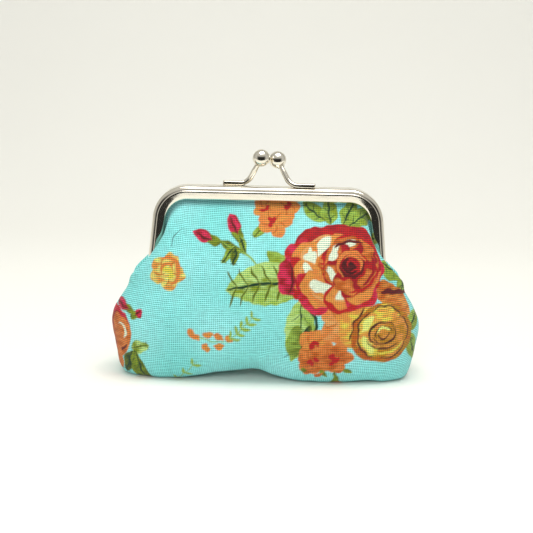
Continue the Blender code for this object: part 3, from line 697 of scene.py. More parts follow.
class Print:
    """Paint laid on a cloth's flat coordinates, one soft-edged shape over another."""

    def __init__(self, flat, seen):
        self.flat = flat.reshape(-1, 2)
        self.seen = seen.reshape(-1, 2)
        drift = np.stack([waves(self.flat, 5.0, 301), waves(self.flat, 5.0, 302)], -1)
        self.inked = self.flat + 0.22 * drift
        self.grain = waves(self.flat, 2.6, 303)
        self.brush = waves(self.flat * (1.0, 3.2), 5.5, 304)
        ground = np.clip(0.5 + 0.35 * waves(self.flat, 30.0, 305), 0, 1)[:, None]
        self.rgb = linear(TURQUOISE) * (1 - ground) + linear(TURQUOISE_DEEP) * ground

    def at(self, x, z):
        """Flat coordinates of the cloth seen at (x, z) from straight in front."""
        return self.flat[np.argmin(((self.seen - (x, z)) ** 2).sum(1))]

    def near(self, centre, reach):
        return np.nonzero(((self.inked - centre) ** 2).sum(1) < reach * reach)[0]

    def lay(self, chosen, cover, one, two=None, blend=None):
        ink = np.broadcast_to(linear(one), (len(chosen), 3))
        if two is not None:
            share = self.brush[chosen] * 0.5 + 0.5 if blend is None else blend
            ink = ink + (linear(two) - ink) * np.clip(share, 0, 1)[:, None]
        self.rgb[chosen] += (ink - self.rgb[chosen]) * np.clip(cover, 0, 1)[:, None]

    def blob(self, centre, a, b, turn, one, two=None, seed=0, rough=0.10, soft=0.3):
        """A rounded petal shape with half axes a and b, turned by an angle in degrees."""
        chosen = self.near(centre, max(a, b) * 1.5 + 1)
        p = self.inked[chosen] - centre
        c, s = math.cos(math.radians(turn)), math.sin(math.radians(turn))
        x, y = (p[:, 0] * c + p[:, 1] * s) / a, (p[:, 1] * c - p[:, 0] * s) / b
        angle, size = np.arctan2(y, x), np.hypot(x, y)
        rng = np.random.default_rng(seed)
        edge = np.ones(len(chosen))
        for k in (2, 3, 5):
            edge += rough * rng.uniform(-1, 1) * np.sin(k * angle + rng.uniform(0, 6.28))
        inside = (edge - size) * min(a, b)
        self.lay(chosen, inside / soft + 0.5, one, two, 0.5 + 0.5 * self.brush[chosen] - 0.4 * x)

    def petal(self, base, tip, width, one, two=None, belly=0.45, bend=0.0, soft=0.3):
        """A leaf or petal between two points; belly says where it is widest."""
        base, tip = np.asarray(base, float), np.asarray(tip, float)
        axis = tip - base
        length = np.linalg.norm(axis)
        axis /= length
        chosen = self.near((base + tip) / 2, length * 0.6 + width + abs(bend) + 1)
        p = self.inked[chosen] - base
        t = (p @ axis) / length
        off = p[:, 0] * -axis[1] + p[:, 1] * axis[0]
        off = off - bend * 4 * np.clip(t, 0, 1) * (1 - np.clip(t, 0, 1))
        s = np.clip(t, 0, 1)
        power = math.log(0.5) / math.log(belly)
        half = width / 2 * np.sin(math.pi * s**power) ** 0.8
        inside = np.where((t > 0) & (t < 1), half - np.abs(off), -1.0)
        self.lay(chosen, inside / soft + 0.5, one, two, 0.5 + 0.4 * self.brush[chosen] + 0.9 * off / width)
        return lambda u, v=0.0: base + axis * length * u + np.array([-axis[1], axis[0]]) * (
            v * width / 2 + bend * 4 * u * (1 - u)
        )

    def stroke(self, points, width, colour, soft=0.25, strength=1.0):
        """A tapered brush stroke through points."""
        points = np.asarray(points, float)
        if len(points) > 2:
            t = np.linspace(0, len(points) - 1, 9 * (len(points) - 1) + 1)
            k = np.clip(t.astype(int), 0, len(points) - 2)
            points = hermite(points, np.gradient(points, axis=0), k, (t - k)[:, None])
        middle = points.mean(0)
        chosen = self.near(middle, np.linalg.norm(points - middle, axis=1).max() + width + 1)
        best = np.full(len(chosen), -9.0)
        p = self.inked[chosen]
        for k, (a, b) in enumerate(zip(points, points[1:])):
            ab = b - a
            t = np.clip(((p - a) @ ab) / max(ab @ ab, 1e-9), 0, 1)
            along = (k + t) / (len(points) - 1)
            half = width / 2 * (0.25 + 0.75 * np.sin(math.pi * np.clip(along, 0.02, 0.98)) ** 0.6)
            best = np.maximum(best, half - np.linalg.norm(p - a - ab * t[:, None], axis=1))
        self.lay(chosen, (best / soft + 0.5) * strength, colour)

    def arc(self, centre, a, b, start, end, width, colour, turn=0.0, **extra):
        angles = np.radians(np.linspace(start, end, 7))
        c, s = math.cos(math.radians(turn)), math.sin(math.radians(turn))
        x, y = a * np.cos(angles), b * np.sin(angles)
        points = np.stack([centre[0] + x * c - y * s, centre[1] + x * s + y * c], -1)
        self.stroke(points, width, colour, **extra)

    # plants
    def leaf(self, base, tip, width, one, two, vein, bend=0.0, veins=4):
        along = self.petal(base, tip, width, one, two, bend=bend)
        self.stroke([along(0.02), along(0.5), along(0.95)], 0.7, vein)
        for k in range(veins):
            u = 0.2 + 0.6 * k / max(veins - 1, 1)
            for side in (-1, 1):
                self.stroke([along(u), along(u + 0.14, 0.62 * side)], 0.38, vein, strength=0.75)
        return along

    def bud(self, base, tip, width):
        along = self.petal(base, tip, width, CRIMSON, PINK, belly=0.55)
        self.stroke([along(0.15, 0.1), along(0.5, 0.25), along(0.85, 0.1)], 0.8, WINE)
        self.stroke([along(0.35, -0.5), along(0.75, -0.4)], 0.7, PINK)
        for side in (-1, 1):
            self.petal(along(-0.22), along(0.34, side * 0.75), width * 0.42, OLIVE, DARK_OLIVE)
        return along

    def blossom(self, centre, size, one, two, heart, seed, lobes=5):
        rng = np.random.default_rng(seed)
        for k in range(lobes):
            angle = 2 * math.pi * (k + rng.uniform(-0.2, 0.2)) / lobes
            spot = centre + size * 0.5 * np.array([math.cos(angle), math.sin(angle)])
            self.blob(spot, size * 0.52, size * 0.44, math.degrees(angle), one, two, seed + k, 0.05)
        for k in range(lobes):
            angle = 2 * math.pi * (k + 0.5) / lobes
            spot = centre + size * 0.45 * np.array([math.cos(angle), math.sin(angle)])
            self.arc(spot, size * 0.3, size * 0.22, 20, 170, 0.55, RUST, math.degrees(angle), strength=0.7)
        for k in range(4):
            spot = centre + rng.uniform(-0.25, 0.25, 2) * size
            self.blob(spot, size * 0.2, size * 0.13, rng.uniform(0, 180), heart, seed=seed + 9 + k)

    def rose(self, centre, a, b, heart, seed, turn=0.0):
        """A full-blown red and orange rose; heart is where its middle sits inside the flower."""
        rng = np.random.default_rng(seed)
        centre, heart = np.asarray(centre, float), np.asarray(heart, float)
        self.blob(centre, a * 0.9, b * 0.88, turn, ORANGE, RUST, seed, 0.06)
        count = 9
        for k in range(count):
            angle = 2 * math.pi * (k + rng.uniform(-0.15, 0.15)) / count
            out = np.array([math.cos(angle) * a, math.sin(angle) * b])
            spot = centre + out * 0.66
            size = 0.42 * min(a, b) * rng.uniform(0.9, 1.12)
            tilt = math.degrees(math.atan2(out[1], out[0])) + 90
            upper = math.sin(angle) > 0.1 and math.cos(angle) > -0.75
            rim = CRIMSON if upper else (PINK, RED)[k % 2]
            self.blob(spot, size * 1.12, size * 0.86, tilt, rim, RED, seed + k, 0.12)
            inner = spot + (heart - spot) * (0.24 if upper else 0.12)
            flat = 0.5 if upper else 0.76
            self.blob(inner, size, size * flat, tilt, ORANGE, AMBER, seed + 20 + k, 0.12)
            if 1.9 < angle < 5.0:
                light = spot + (heart - spot) * 0.2
                self.blob(light, size * 0.66, size * 0.34, tilt + 12, CREAM, seed=seed + 40 + k, rough=0.2)
                self.arc(light, size * 0.8, size * 0.5, 20, 150, 0.9, PEACH, tilt + 180)
            fold = spot + (heart - spot) * 0.42
            self.arc(fold, size * 0.9, size * 0.5, 200, 330, 0.9, RED, tilt + 180)
            self.arc(fold, size * 0.6, size * 0.34, 220, 310, 0.55, WINE, tilt + 180)
        for k in range(7):
            angle = 2 * math.pi * (k + rng.uniform(-0.2, 0.2)) / 7
            out = np.array([math.cos(angle), math.sin(angle)]) * b
            spot = heart + out * 0.42
            size = 0.30 * b
            tilt = math.degrees(angle) + 90
            self.blob(spot, size * 1.1, size * 0.8, tilt, RED, CRIMSON, seed + 60 + k, 0.12)
            warm = spot + out * 0.05
            self.blob(warm, size * 0.95, size * 0.52, tilt, ORANGE, RUST, seed + 70 + k, 0.14)
            if k in (2, 3, 4):
                self.blob(warm, size * 0.7, size * 0.26, tilt + 8, CREAM, seed=seed + 80 + k, rough=0.2)
        self.blob(heart, b * 0.36, b * 0.33, 0, RED, CRIMSON, seed + 90, 0.07)
        for radius, start, end, width, ink in (
            (0.31, 20, 230, 0.09, ORANGE), (0.27, 190, 380, 0.07, WINE), (0.22, -30, 130, 0.07, ORANGE),
            (0.18, 120, 300, 0.08, MAROON),
        ):  # fmt: skip
            self.arc(heart, b * radius, b * radius * 0.9, start, end, b * width, ink)
        self.blob(heart - (b * 0.05, 0), b * 0.15, b * 0.13, 0, MAROON, WINE, seed + 95)
        self.arc(heart, b * 0.1, b * 0.08, 0, 200, b * 0.05, RED)
        for radius, start, end, ink in (
            (0.52, -60, 20, CRIMSON), (0.60, -95, -20, RED), (0.56, 60, 130, WINE), (0.66, 20, 80, RED),
        ):  # fmt: skip
            self.arc(heart, b * radius, b * radius * 0.92, start, end, b * 0.07, ink)

    def tea_rose(self, centre, size, seed):
        """A yellow rose drawn with brown outlines."""
        centre = np.asarray(centre, float)
        self.blob(centre, size, size * 0.95, 20, MUSTARD, RUST, seed, 0.06)
        for angle, far, wide in (
            (75, 0.52, 0.5), (150, 0.5, 0.46), (215, 0.5, 0.46), (10, 0.55, 0.42), (300, 0.5, 0.45),
        ):  # fmt: skip
            out = np.array([math.cos(math.radians(angle)), math.sin(math.radians(angle))])
            spot = centre + out * size * far
            warm = (YELLOW, AMBER) if 60 < angle < 240 else (AMBER, MUSTARD)
            self.blob(spot, size * wide, size * wide * 0.72, angle + 90, *warm, seed + angle, 0.1)
            self.arc(spot, size * wide, size * wide * 0.7, 15, 165, 0.6, BROWN, angle - 90)
            if 100 < angle < 240:
                light = spot + out * size * 0.1
                self.blob(light, size * 0.34, size * 0.12, angle + 90, LEMON, seed=seed + 5)
        self.blob(centre, size * 0.42, size * 0.38, 0, MUSTARD, AMBER, seed + 7, 0.08)
        for radius, start, end in (
            (0.44, 30, 250), (0.36, 200, 400), (0.27, 20, 210), (0.18, 180, 380), (0.56, 200, 320),
        ):  # fmt: skip
            self.arc(centre, size * radius, size * radius * 0.85, start, end, 0.62, BROWN)
        self.arc(centre, size * 0.22, size * 0.2, 40, 160, 1.0, LEMON)
        self.arc(centre, size * 0.68, size * 0.62, 250, 330, 0.9, YELLOW)

    def sprig(self, drops, stem, size, one, two):
        self.stroke(stem, 0.35, LEAF)
        for k, spot in enumerate(drops):
            self.blob(np.asarray(spot), size, size * 0.62, 130 + 25 * (k % 3), one, two, 500 + k)

    def fern(self, base, tip, leaves, length, colour):
        base, tip = np.asarray(base, float), np.asarray(tip, float)
        self.stroke([base, tip], 0.35, colour)
        axis = (tip - base) / np.linalg.norm(tip - base)
        normal = np.array([-axis[1], axis[0]])
        for k in range(leaves):
            spot = base + (tip - base) * (k + 0.6) / leaves
            for side in (-1, 1):
                end = spot + (axis * 0.8 + normal * side) * length
                self.petal(spot, end, length * 0.45, colour)


def paint_front(ink):
    at = ink.at
    # left: buds on a stem, a loose blossom and a stray thread
    ink.leaf(at(-17, 50), at(-7, 46), 3.0, OLIVE, DARK_OLIVE, FOREST, veins=2)
    ink.stroke([at(-17, 50), at(-10, 47), at(-4, 43), at(0, 37)], 0.6, LEAF)
    ink.bud(at(-18, 50), at(-26, 53.5), 4.6)
    ink.bud(at(-10, 51.5), at(-13.5, 60.5), 4.8)
    ink.leaf(at(-10, 52), at(-7, 46), 2.6, OLIVE, LEAF, FOREST, veins=1)
    ink.leaf(at(-11, 49), at(-15.5, 42.5), 3.4, OLIVE, LEAF, FOREST, veins=2)
    ink.leaf(at(-11, 48.5), at(-11.5, 41.5), 2.8, DARK_OLIVE, OLIVE, FOREST, veins=2)
    ink.stroke([at(-30, 54.5), at(-32.5, 52), at(-33.5, 48)], 0.35, HAIR, strength=0.85)
    ink.blossom(at(-34.5, 39), 6.6, AMBER, LEMON, YELLOW, 11)
    ink.arc(at(-34.5, 39), 4.2, 5.0, -60, 120, 1.5, ORANGE)
    ink.arc(at(-34.5, 39), 2.4, 2.8, 20, 200, 0.9, ORANGE)
    # left edge: buds, a pink and orange flower and its leaves
    ink.bud(at(-47.5, 25), at(-53, 30), 3.4)
    ink.bud(at(-46.5, 23), at(-43.5, 25.5), 3.4)
    edge = at(-51.5, 17.5)
    ink.blob(edge + (-3.5, 0), 8.0, 9.0, 0, RED, PINK, 21, 0.08)
    ink.blob(edge + (-1.0, -1), 5.6, 7.6, 10, ORANGE, RUST, 22, 0.12)
    ink.arc(edge, 2.6, 3.0, -40, 110, 0.8, CREAM)
    ink.arc(edge + (-1.0, -2), 4.4, 4.6, 200, 330, 1.2, WINE)
    ink.arc(edge + (-2.5, 3), 2.6, 3.6, 60, 220, 1.1, CRIMSON)
    ink.blob(edge + (-2, -10), 2.8, 5.0, 0, ORANGE, RUST, 23)
    for base, tip, wide, *colours in (
        ((-47.5, 12), (-41, 13), 4.6, PALE_LEAF, OLIVE, DARK_OLIVE),
        ((-47, 11), (-49.5, 3), 5.0, DARK_OLIVE, FOREST, FOREST),
        ((-46.5, 11), (-44, 1.5), 4.4, OLIVE, DARK_OLIVE, FOREST),
        ((-46, 11), (-37.5, 2.5), 4.0, OLIVE, DARK_OLIVE, FOREST),
    ):
        ink.leaf(at(*base), at(*tip), wide, *colours, veins=2)
    ink.fern(at(-37, 3), at(-24, 7.5), 5, 2.6, LEAF)
    # a sprig of drops and a fern below the middle
    stem = [at(-27, 18), at(-20, 15.5), at(-12, 15)]
    drops = ((-26, 18), (-24.5, 16.5), (-20, 17.5), (-21, 13), (-16.5, 17), (-16, 13.5), (-12.5, 16))
    ink.sprig([at(*spot) for spot in drops], stem, 1.9, ORANGE, AMBER)
    ink.fern(at(-13, 15), at(-4, 24), 5, 2.6, LEAF)
    # the big leaf behind the rose
    ink.petal(at(10, 37), at(0, 47), 8.0, LEAF, OLIVE)
    big = ink.petal(at(13, 35.5), at(-14.5, 33), 15.5, PALE_LEAF, LEAF, bend=-1.5)
    ink.petal(big(0.2, -0.45), big(1.0, 0.0), 6.0, PALE_LEAF, OLIVE, bend=0.5)
    ink.stroke([big(0.05), big(0.5), big(0.97)], 1.0, FOREST)
    for u in (0.25, 0.4, 0.55, 0.7, 0.84):
        for side in (-1, 1):
            ink.stroke([big(u), big(u + 0.08, 0.45 * side), big(u + 0.11, 0.8 * side)], 0.7, DARK_OLIVE)
    # leaves and small flowers along the top and right edge
    for x0, z0, x1, z1, wide in (
        (20, 58, 12, 65, 6), (22, 57, 21, 66.5, 6.5), (26, 57, 31, 66, 6), (28, 56, 37.5, 62, 7),
        (36, 50, 41.5, 53, 5), (40, 44, 47, 38, 8), (44, 38, 48, 31, 6), (50, 20, 53, 28, 6),
        (50, 20, 54, 10, 6),
    ):  # fmt: skip
        ink.leaf(at(x0, z0), at(x1, z1), wide, OLIVE, LEAF, FOREST, veins=3)
    ink.leaf(at(-1, 56), at(-5, 51.5), 3.6, LEAF, OLIVE, DARK_OLIVE, veins=2)
    ink.blossom(at(-1.5, 62.5), 4.2, AMBER, ORANGE, RED, 31)
    ink.blossom(at(6, 63), 5.4, ORANGE, AMBER, RED, 32)
    ink.blossom(at(2.5, 57.5), 6.2, ORANGE, AMBER, RED, 33)
    # the vertical leaf, the orange cluster and its seeds
    ink.leaf(at(12, 30), at(9.5, 8.5), 10.5, PALE_LEAF, LEAF, FOREST, bend=1.0)
    ink.petal(at(11, 22), at(9, 8.5), 6.0, LEAF, DARK_OLIVE)
    ink.petal(at(15, 22), at(13, 9.5), 3.6, FOREST, DARK_OLIVE)
    ink.stroke([at(15, 26.5), at(17.5, 23), at(17, 18)], 1.2, FOREST)
    for x, z, size, two, heart, seed in (
        (17, 14, 6.4, AMBER, RED, 41), (16.5, 9, 5.4, RUST, RED, 42), (24, 10, 6.4, RUST, RED, 43),
        (26, 23, 8.6, PEACH, AMBER, 44),
    ):  # fmt: skip
        ink.blossom(at(x, z), size, ORANGE, two, heart, seed)
    for x0, z0, x1, z1 in (
        (19, 6, 22, 3), (24, 5.5, 28, 2.5), (27, 6, 31, 5), (25, 3.5, 23, 1.5), (13, 6.5, 15.5, 4),
    ):  # fmt: skip
        ink.petal(at(x0, z0), at(x1, z1), 1.8, OLIVE, DARK_OLIVE)
    for x0, z0 in ((15, 4.8), (19, 3.8), (26, 1.2), (28.5, 1.2)):
        ink.blob(at(x0, z0), 1.5, 0.9, 20, ORANGE, RUST, 46)
    # the two roses
    ink.blob(at(45, 31), 8.0, 5.0, -40, AMBER, RUST, 51)
    ink.stroke([at(40, 33.5), at(44, 34), at(48, 31.5)], 1.6, WINE)
    ink.blob(at(32, 22), 6.4, 8.6, -20, YELLOW, AMBER, 52)
    ink.stroke([at(34.5, 28), at(31, 23), at(29.5, 17)], 0.9, BROWN)
    ink.tea_rose(at(41.5, 19), 11.4, 61)
    ink.rose(at(23, 42), 19.5, 16.0, at(29.5, 43), 71)
    ink.blob(at(7, 38), 3.2, 6.4, 8, CRIMSON, PINK, 72)
    ink.arc(at(7, 38), 2.2, 5.4, -70, 60, 0.9, WINE)


def paint_back(ink):
    at = ink.at
    for x0, z0, x1, z1, wide in (
        (-20, 42, -38, 36, 12), (-22, 30, -36, 20, 9), (0, 48, 6, 60, 9), (8, 36, 20, 42, 8),
        (36, 24, 50, 30, 9), (30, 14, 42, 5, 8),
    ):  # fmt: skip
        ink.leaf(at(x0, z0), at(x1, z1), wide, PALE_LEAF, OLIVE, FOREST)
    ink.rose(at(-12, 38), 19.0, 16.0, at(-7, 39), 171)
    ink.tea_rose(at(28, 20), 11.0, 161)
    ink.blossom(at(9, 20), 6.0, ORANGE, AMBER, RED, 141)
    ink.blossom(at(4, 14), 5.4, ORANGE, RUST, RED, 142)
    ink.blossom(at(-42, 24), 6.6, AMBER, LEMON, YELLOW, 143)
    ink.blossom(at(24, 60), 5.6, ORANGE, AMBER, RED, 144)
    ink.bud(at(20, 50), at(27, 54), 4.6)
    ink.bud(at(24, 44), at(33, 46), 4.6)
    ink.stroke([at(20, 50), at(22, 45), at(18, 38)], 0.6, LEAF)
    ink.bud(at(-40, 48), at(-35, 56), 4.6)
    ink.leaf(at(-40, 48), at(-44, 41), 3.6, OLIVE, DARK_OLIVE, FOREST, veins=2)
    drops = ((-30, 12), (-26, 13.5), (-22, 11), (-18, 13), (-14, 10.5))
    stem = [at(-32, 11), at(-20, 12), at(-10, 11)]
    ink.sprig([at(*spot) for spot in drops], stem, 1.9, ORANGE, AMBER)
    ink.fern(at(-12, 11), at(0, 6), 5, 2.6, LEAF)
    ink.fern(at(44, 12), at(50, 20), 5, 2.6, LEAF)
    ink.bud(at(-50, 14), at(-46, 20), 4.0)


VIEW_TILT = math.radians(11.0)
BASE_FRONT_DEPTH = 16.0


def seen_from_front(grid):
    """Where each point of a front grid shows, as (x, height over the base) from the camera's tilt."""
    base = -BASE_FRONT_DEPTH * math.sin(VIEW_TILT)
    up = grid[..., 2] * math.cos(VIEW_TILT) + grid[..., 1] * math.sin(VIEW_TILT)
    return np.stack([grid[..., 0], up - base], -1)


# --- build the cloth ---
def store(thing, flat, inner_flat, rgb=None):
    """Keep the flat coordinates, and the print's colours with the painted shade beside the channel, on a
    sheet's points.
    """
    mesh = thing.data
    values = np.zeros((len(mesh.vertices), 3), np.float32)
    values[:, :2] = np.concatenate([flat.reshape(-1, 2), inner_flat.reshape(-1, 2)])
    mesh.attributes.new("flat", "FLOAT_VECTOR", "POINT").data.foreach_set("vector", values.ravel())
    if rgb is not None:
        colours = np.ones((len(mesh.vertices), 4), np.float32)
        colours[: len(rgb), :3] = rgb
        colours[len(rgb) :, :3] = linear(TURQUOISE) * 0.85
        mesh.attributes.new("print", "FLOAT_COLOR", "POINT").data.foreach_set("color", colours.ravel())


def flat_size(flat):
    """(width, length, area) of the flat cut, in metres."""
    size = flat.reshape(-1, 2)
    a, b = flat[1:, 1:] - flat[:-1, :-1], flat[:-1, 1:] - flat[1:, :-1]
    area = np.abs(a[..., 0] * b[..., 1] - a[..., 1] * b[..., 0]).sum() / 2
    width, length = np.ptp(size[:, 0]), np.ptp(size[:, 1])
    return width * MM, length * MM, min(area, width * length) * MM * MM


def painted_mouth_shade(grid):
    """Painted shade along the channel's mouth: the cloth's colour is darkened beside it, a factor for each
    point.
    """
    mouth, _ = frame_line(np.linspace(0, 1, grid.shape[1]), MOUTH_INSET)
    away = np.linalg.norm(grid[..., (0, 2)] - mouth, axis=-1)
    return (0.40 + 0.60 * smooth(away, 0.2, 2.0)).reshape(-1, 1)


def cloth(layer, side, facing):
    """One panel as a single sheet from the base to the channel; returns its front grid."""
    inset, thickness, slot, (columns, low_count, high_count) = LAYERS[layer]
    trim = FLEECE_TRIM if layer == "fleece" else 0.0
    grid = layer_grid(inset, columns, low_count, high_count, SEEDS[side], trim)
    if layer == "fleece":  # it stops below the channel
        grid = grid[: -(high_count // 6)]
    grid = grid[: len(grid) - (len(grid) - 1) % INNER_SKIP]
    flat = flat_pattern(grid)
    thing = sheet_mesh(f"{layer}_{side}_panel", grid, thickness, facing, LOOKS[slot])
    rgb = None
    if layer == "outer":
        seen = seen_from_front(grid)
        if facing > 0:  # the back is looked at from behind, so its left is the other way round
            flat = flat * (-1, 1)
            seen = seen * (-1, 1)
        ink = Print(flat, seen)
        paint_front(ink) if facing < 0 else paint_back(ink)
        # the print's colours times the painted shade beside the channel's mouth
        rgb = ink.rgb * painted_mouth_shade(grid)
    store(thing, flat, flat[::INNER_SKIP, ::INNER_SKIP], rgb)
    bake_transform(thing)
    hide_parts(f"{layer}_{side}_lower", f"{layer}_{side}_upper")
    width, length, area = flat_size(flat)
    return grid


grids = {(layer, side): cloth(layer, side, facing) for side, facing, _ in HALVES for layer in LAYERS}


STITCH_PITCH = 2.2


def seam_thread(name, layer, radius, sway):
    """Stitches that cross the gap between front and back down one side, along the base and up."""
    grid = grids[layer, "front"]
    low_count = LAYERS[layer][3][1]
    side_line = grid[: low_count - 2, 0] * (1, 0, 1)
    base_line = grid[0] * (1, 0, 1)
    path = np.concatenate([side_line[::-1], base_line[1:-1], side_line * (-1, 1, 1)])
    length = run_lengths(path)[-1]
    shares = np.linspace(0, 1, int(length / STITCH_PITCH * 10))
    path = evenly(path, shares)
    toward = np.array([0.0, 0.0, 14.0]) - path
    toward[:, 1] = 0
    toward /= np.linalg.norm(toward, axis=1)[:, None]
    beat = shares * length / STITCH_PITCH * 2 * math.pi
    path = path + toward * (radius * 1.3 + 0.12 * (1 - np.cos(2 * beat)))[:, None]
    path[:, 1] = sway * np.sin(beat)
    thing = tube_mesh(name + "_stitches", path, radius, 8, LOOKS["thread"])
    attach(thing, "pouch")
    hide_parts(name)


seam_thread("outer_seam_thread", "outer", 0.2, 0.32)
seam_thread("lining_seam_thread", "lining", 0.18, 0.3)


# --- frame halves ---
def rounded(corners, passes):
    """A closed profile with its corners cut again and again until they are round."""
    points = np.asarray(corners, float)
    for _ in range(passes):
        after = np.roll(points, -1, axis=0)
        points = np.stack([points * 0.75 + after * 0.25, points * 0.25 + after * 0.75], 1).reshape(-1, 2)
    return points


# a channel's section: depth in front of the parting plane, distance in from the outer edge
SECTION = [
    (0.12, 0.0), (0.5, -0.03), (2.0, -0.03), (2.7, 0.0), (3.3, 0.12), (3.8, 0.42), (4.15, 0.85),
    (4.33, 1.35), (4.38, 1.56), (4.44, 1.68), (4.64, 1.80), (4.72, 2.0), (4.61, 2.7), (4.50, 3.4),
    (4.40, 4.0), (4.30, 4.4), (4.00, 4.84), (3.78, 4.92), (3.70, 4.7), (3.80, 4.2), (4.02, 3.6),
    (4.02, 1.9), (3.7, 0.95), (2.95, 0.5), (0.65, 0.5), (0.65, 2.0), (0.65, 3.98), (0.40, 4.04),
    (0.12, 3.98), (0.12, 2.0),
]  # fmt: skip


def channel(name, facing):
    section = rounded(SECTION, passes=2)
    left, rail, right = np.linspace(0, 0.26, 60), np.linspace(0.26, 0.74, 110), np.linspace(0.74, 1, 60)
    fine = np.concatenate([left, rail[1:], right[1:]])
    line, inward = frame_line(fine, 0.0)
    rings = np.empty((len(fine), len(section), 3))
    rings[..., 0] = line[:, :1] + inward[:, :1] * section[:, 1]
    rings[..., 1] = facing * section[:, 0]
    rings[..., 2] = line[:, 1:] + inward[:, 1:] * section[:, 1]
    return new_mesh(name, *loft(rings), LOOKS["metal"])


def ear(name, centre_x, facing):
    """A flat steel ear, drilled, with softened edges."""
    near, far = 0.5, 3.5

    def round_hinge(radius, angles):
        return [(radius * math.cos(a), HINGE_Z + radius * math.sin(a)) for a in angles]

    last = math.acos(near / EAR_RADIUS) - 2.0 * math.pi
    rim = [(far, NECK_TOP_Z), (far, HINGE_Z + EAR_RADIUS)]
    rim += round_hinge(EAR_RADIUS, np.linspace(0, last, 49)) + [(near, NECK_TOP_Z)]
    hole = round_hinge(EAR_HOLE_RADIUS, np.linspace(0, 2 * math.pi, 36, endpoint=False))
    curve = bpy.data.curves.new(name, "CURVE")
    curve.dimensions, curve.fill_mode = "2D", "BOTH"
    curve.extrude, curve.bevel_depth, curve.bevel_resolution = 0.19 * MM, 0.06 * MM, 2
    curve.offset = -curve.bevel_depth
    for loop in (rim, hole):
        spline = curve.splines.new("POLY")
        spline.points.add(len(loop) - 1)
        for slot, (depth, height) in zip(spline.points, loop):
            slot.co = (depth * MM, height * MM, 0.0, 1.0)
        spline.use_cyclic_u = True
    guide = bpy.data.objects.new(name, curve)
    bpy.context.scene.collection.objects.link(guide)
    bpy.context.view_layer.update()
    mesh = bpy.data.meshes.new_from_object(guide.evaluated_get(bpy.context.evaluated_depsgraph_get()))
    bpy.data.objects.remove(guide, do_unlink=True)
    mesh.transform(Matrix(((0, 0, 1, centre_x * MM), (facing, 0, 0, 0), (0, 1, 0, 0), (0, 0, 0, 1))))
    work = bmesh.new()
    work.from_mesh(mesh)
    bmesh.ops.remove_doubles(work, verts=work.verts, dist=0.000002)
    work.to_mesh(mesh)
    work.free()
    thing = bpy.data.objects.new(name, mesh)
    bpy.context.scene.collection.objects.link(thing)
    mesh.materials.clear()
    mesh.materials.append(LOOKS["metal"])
    return thing


def rounded_box(name, low, high, radius, material):
    low, high = np.sort([low, high], axis=0)
    work = bmesh.new()
    bmesh.ops.create_cube(work, size=1.0)
    for vert in work.verts:
        vert.co = [((l + h) / 2 + c * (h - l)) * MM for l, h, c in zip(low, high, vert.co)]
    bmesh.ops.bevel(work, geom=work.edges[:], offset=radius * MM, segments=3, affect="EDGES", profile=0.5)
    mesh = bpy.data.meshes.new(name)
    work.to_mesh(mesh)
    work.free()
    thing = bpy.data.objects.new(name, mesh)
    bpy.context.scene.collection.objects.link(thing)
    mesh.materials.append(material)
    return thing


for side, facing, _ in HALVES:
    parts = [channel(f"{side}_channel", facing)]
    ear_x = OUTER_EAR_FACE_X - STEEL / 2 - (STEEL + EAR_GAP if facing > 0 else 0.0)
    for turn in (-1.0, 1.0):
        parts.append(ear(f"{side}_ear", turn * ear_x, facing))
        if facing > 0:
            near, far = turn * (ear_x - 0.2), turn * (ear_x + 0.75)
            parts.append(rounded_box("bridge", (near, 0.6, 37.3), (far, 3.4, 38.7), 0.1, LOOKS["metal"]))
    piece = joined(f"{side}_frame_channel", parts)
    keep_corners(piece, 42)
    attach(piece, f"{side}_half")
    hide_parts(f"{side}_frame")


# --- clasp ---
STRIP_Y, STRIP_LEVEL = 2.35, 0.78  # the strip's middle, aside of the parting plane and over the rail
STRIP_END_X, BEND_X, BEND_RISE = 10.0, 7.5, 0.15
STRIP_SIZE, ROD_SIZE = (1.7, 0.8), (1.08, 1.02)  # half widths and half thicknesses
STRIP_SQUARENESS, ROD_SQUARENESS = 4.5, 2.0
TIP_SIZE, NECK_SHRINK = 0.86, 0.14
BEAD_RADIUS, ROD_STOPS_SHORT, COLLAR_STOPS_SHORT = 3.1, 2.2, 2.72
COLLAR = ((-0.32, 0.2), (-0.32, 1.15), (-0.2, 1.42), (0.0, 1.5), (0.2, 1.42), (0.32, 1.15), (0.32, 0.2))


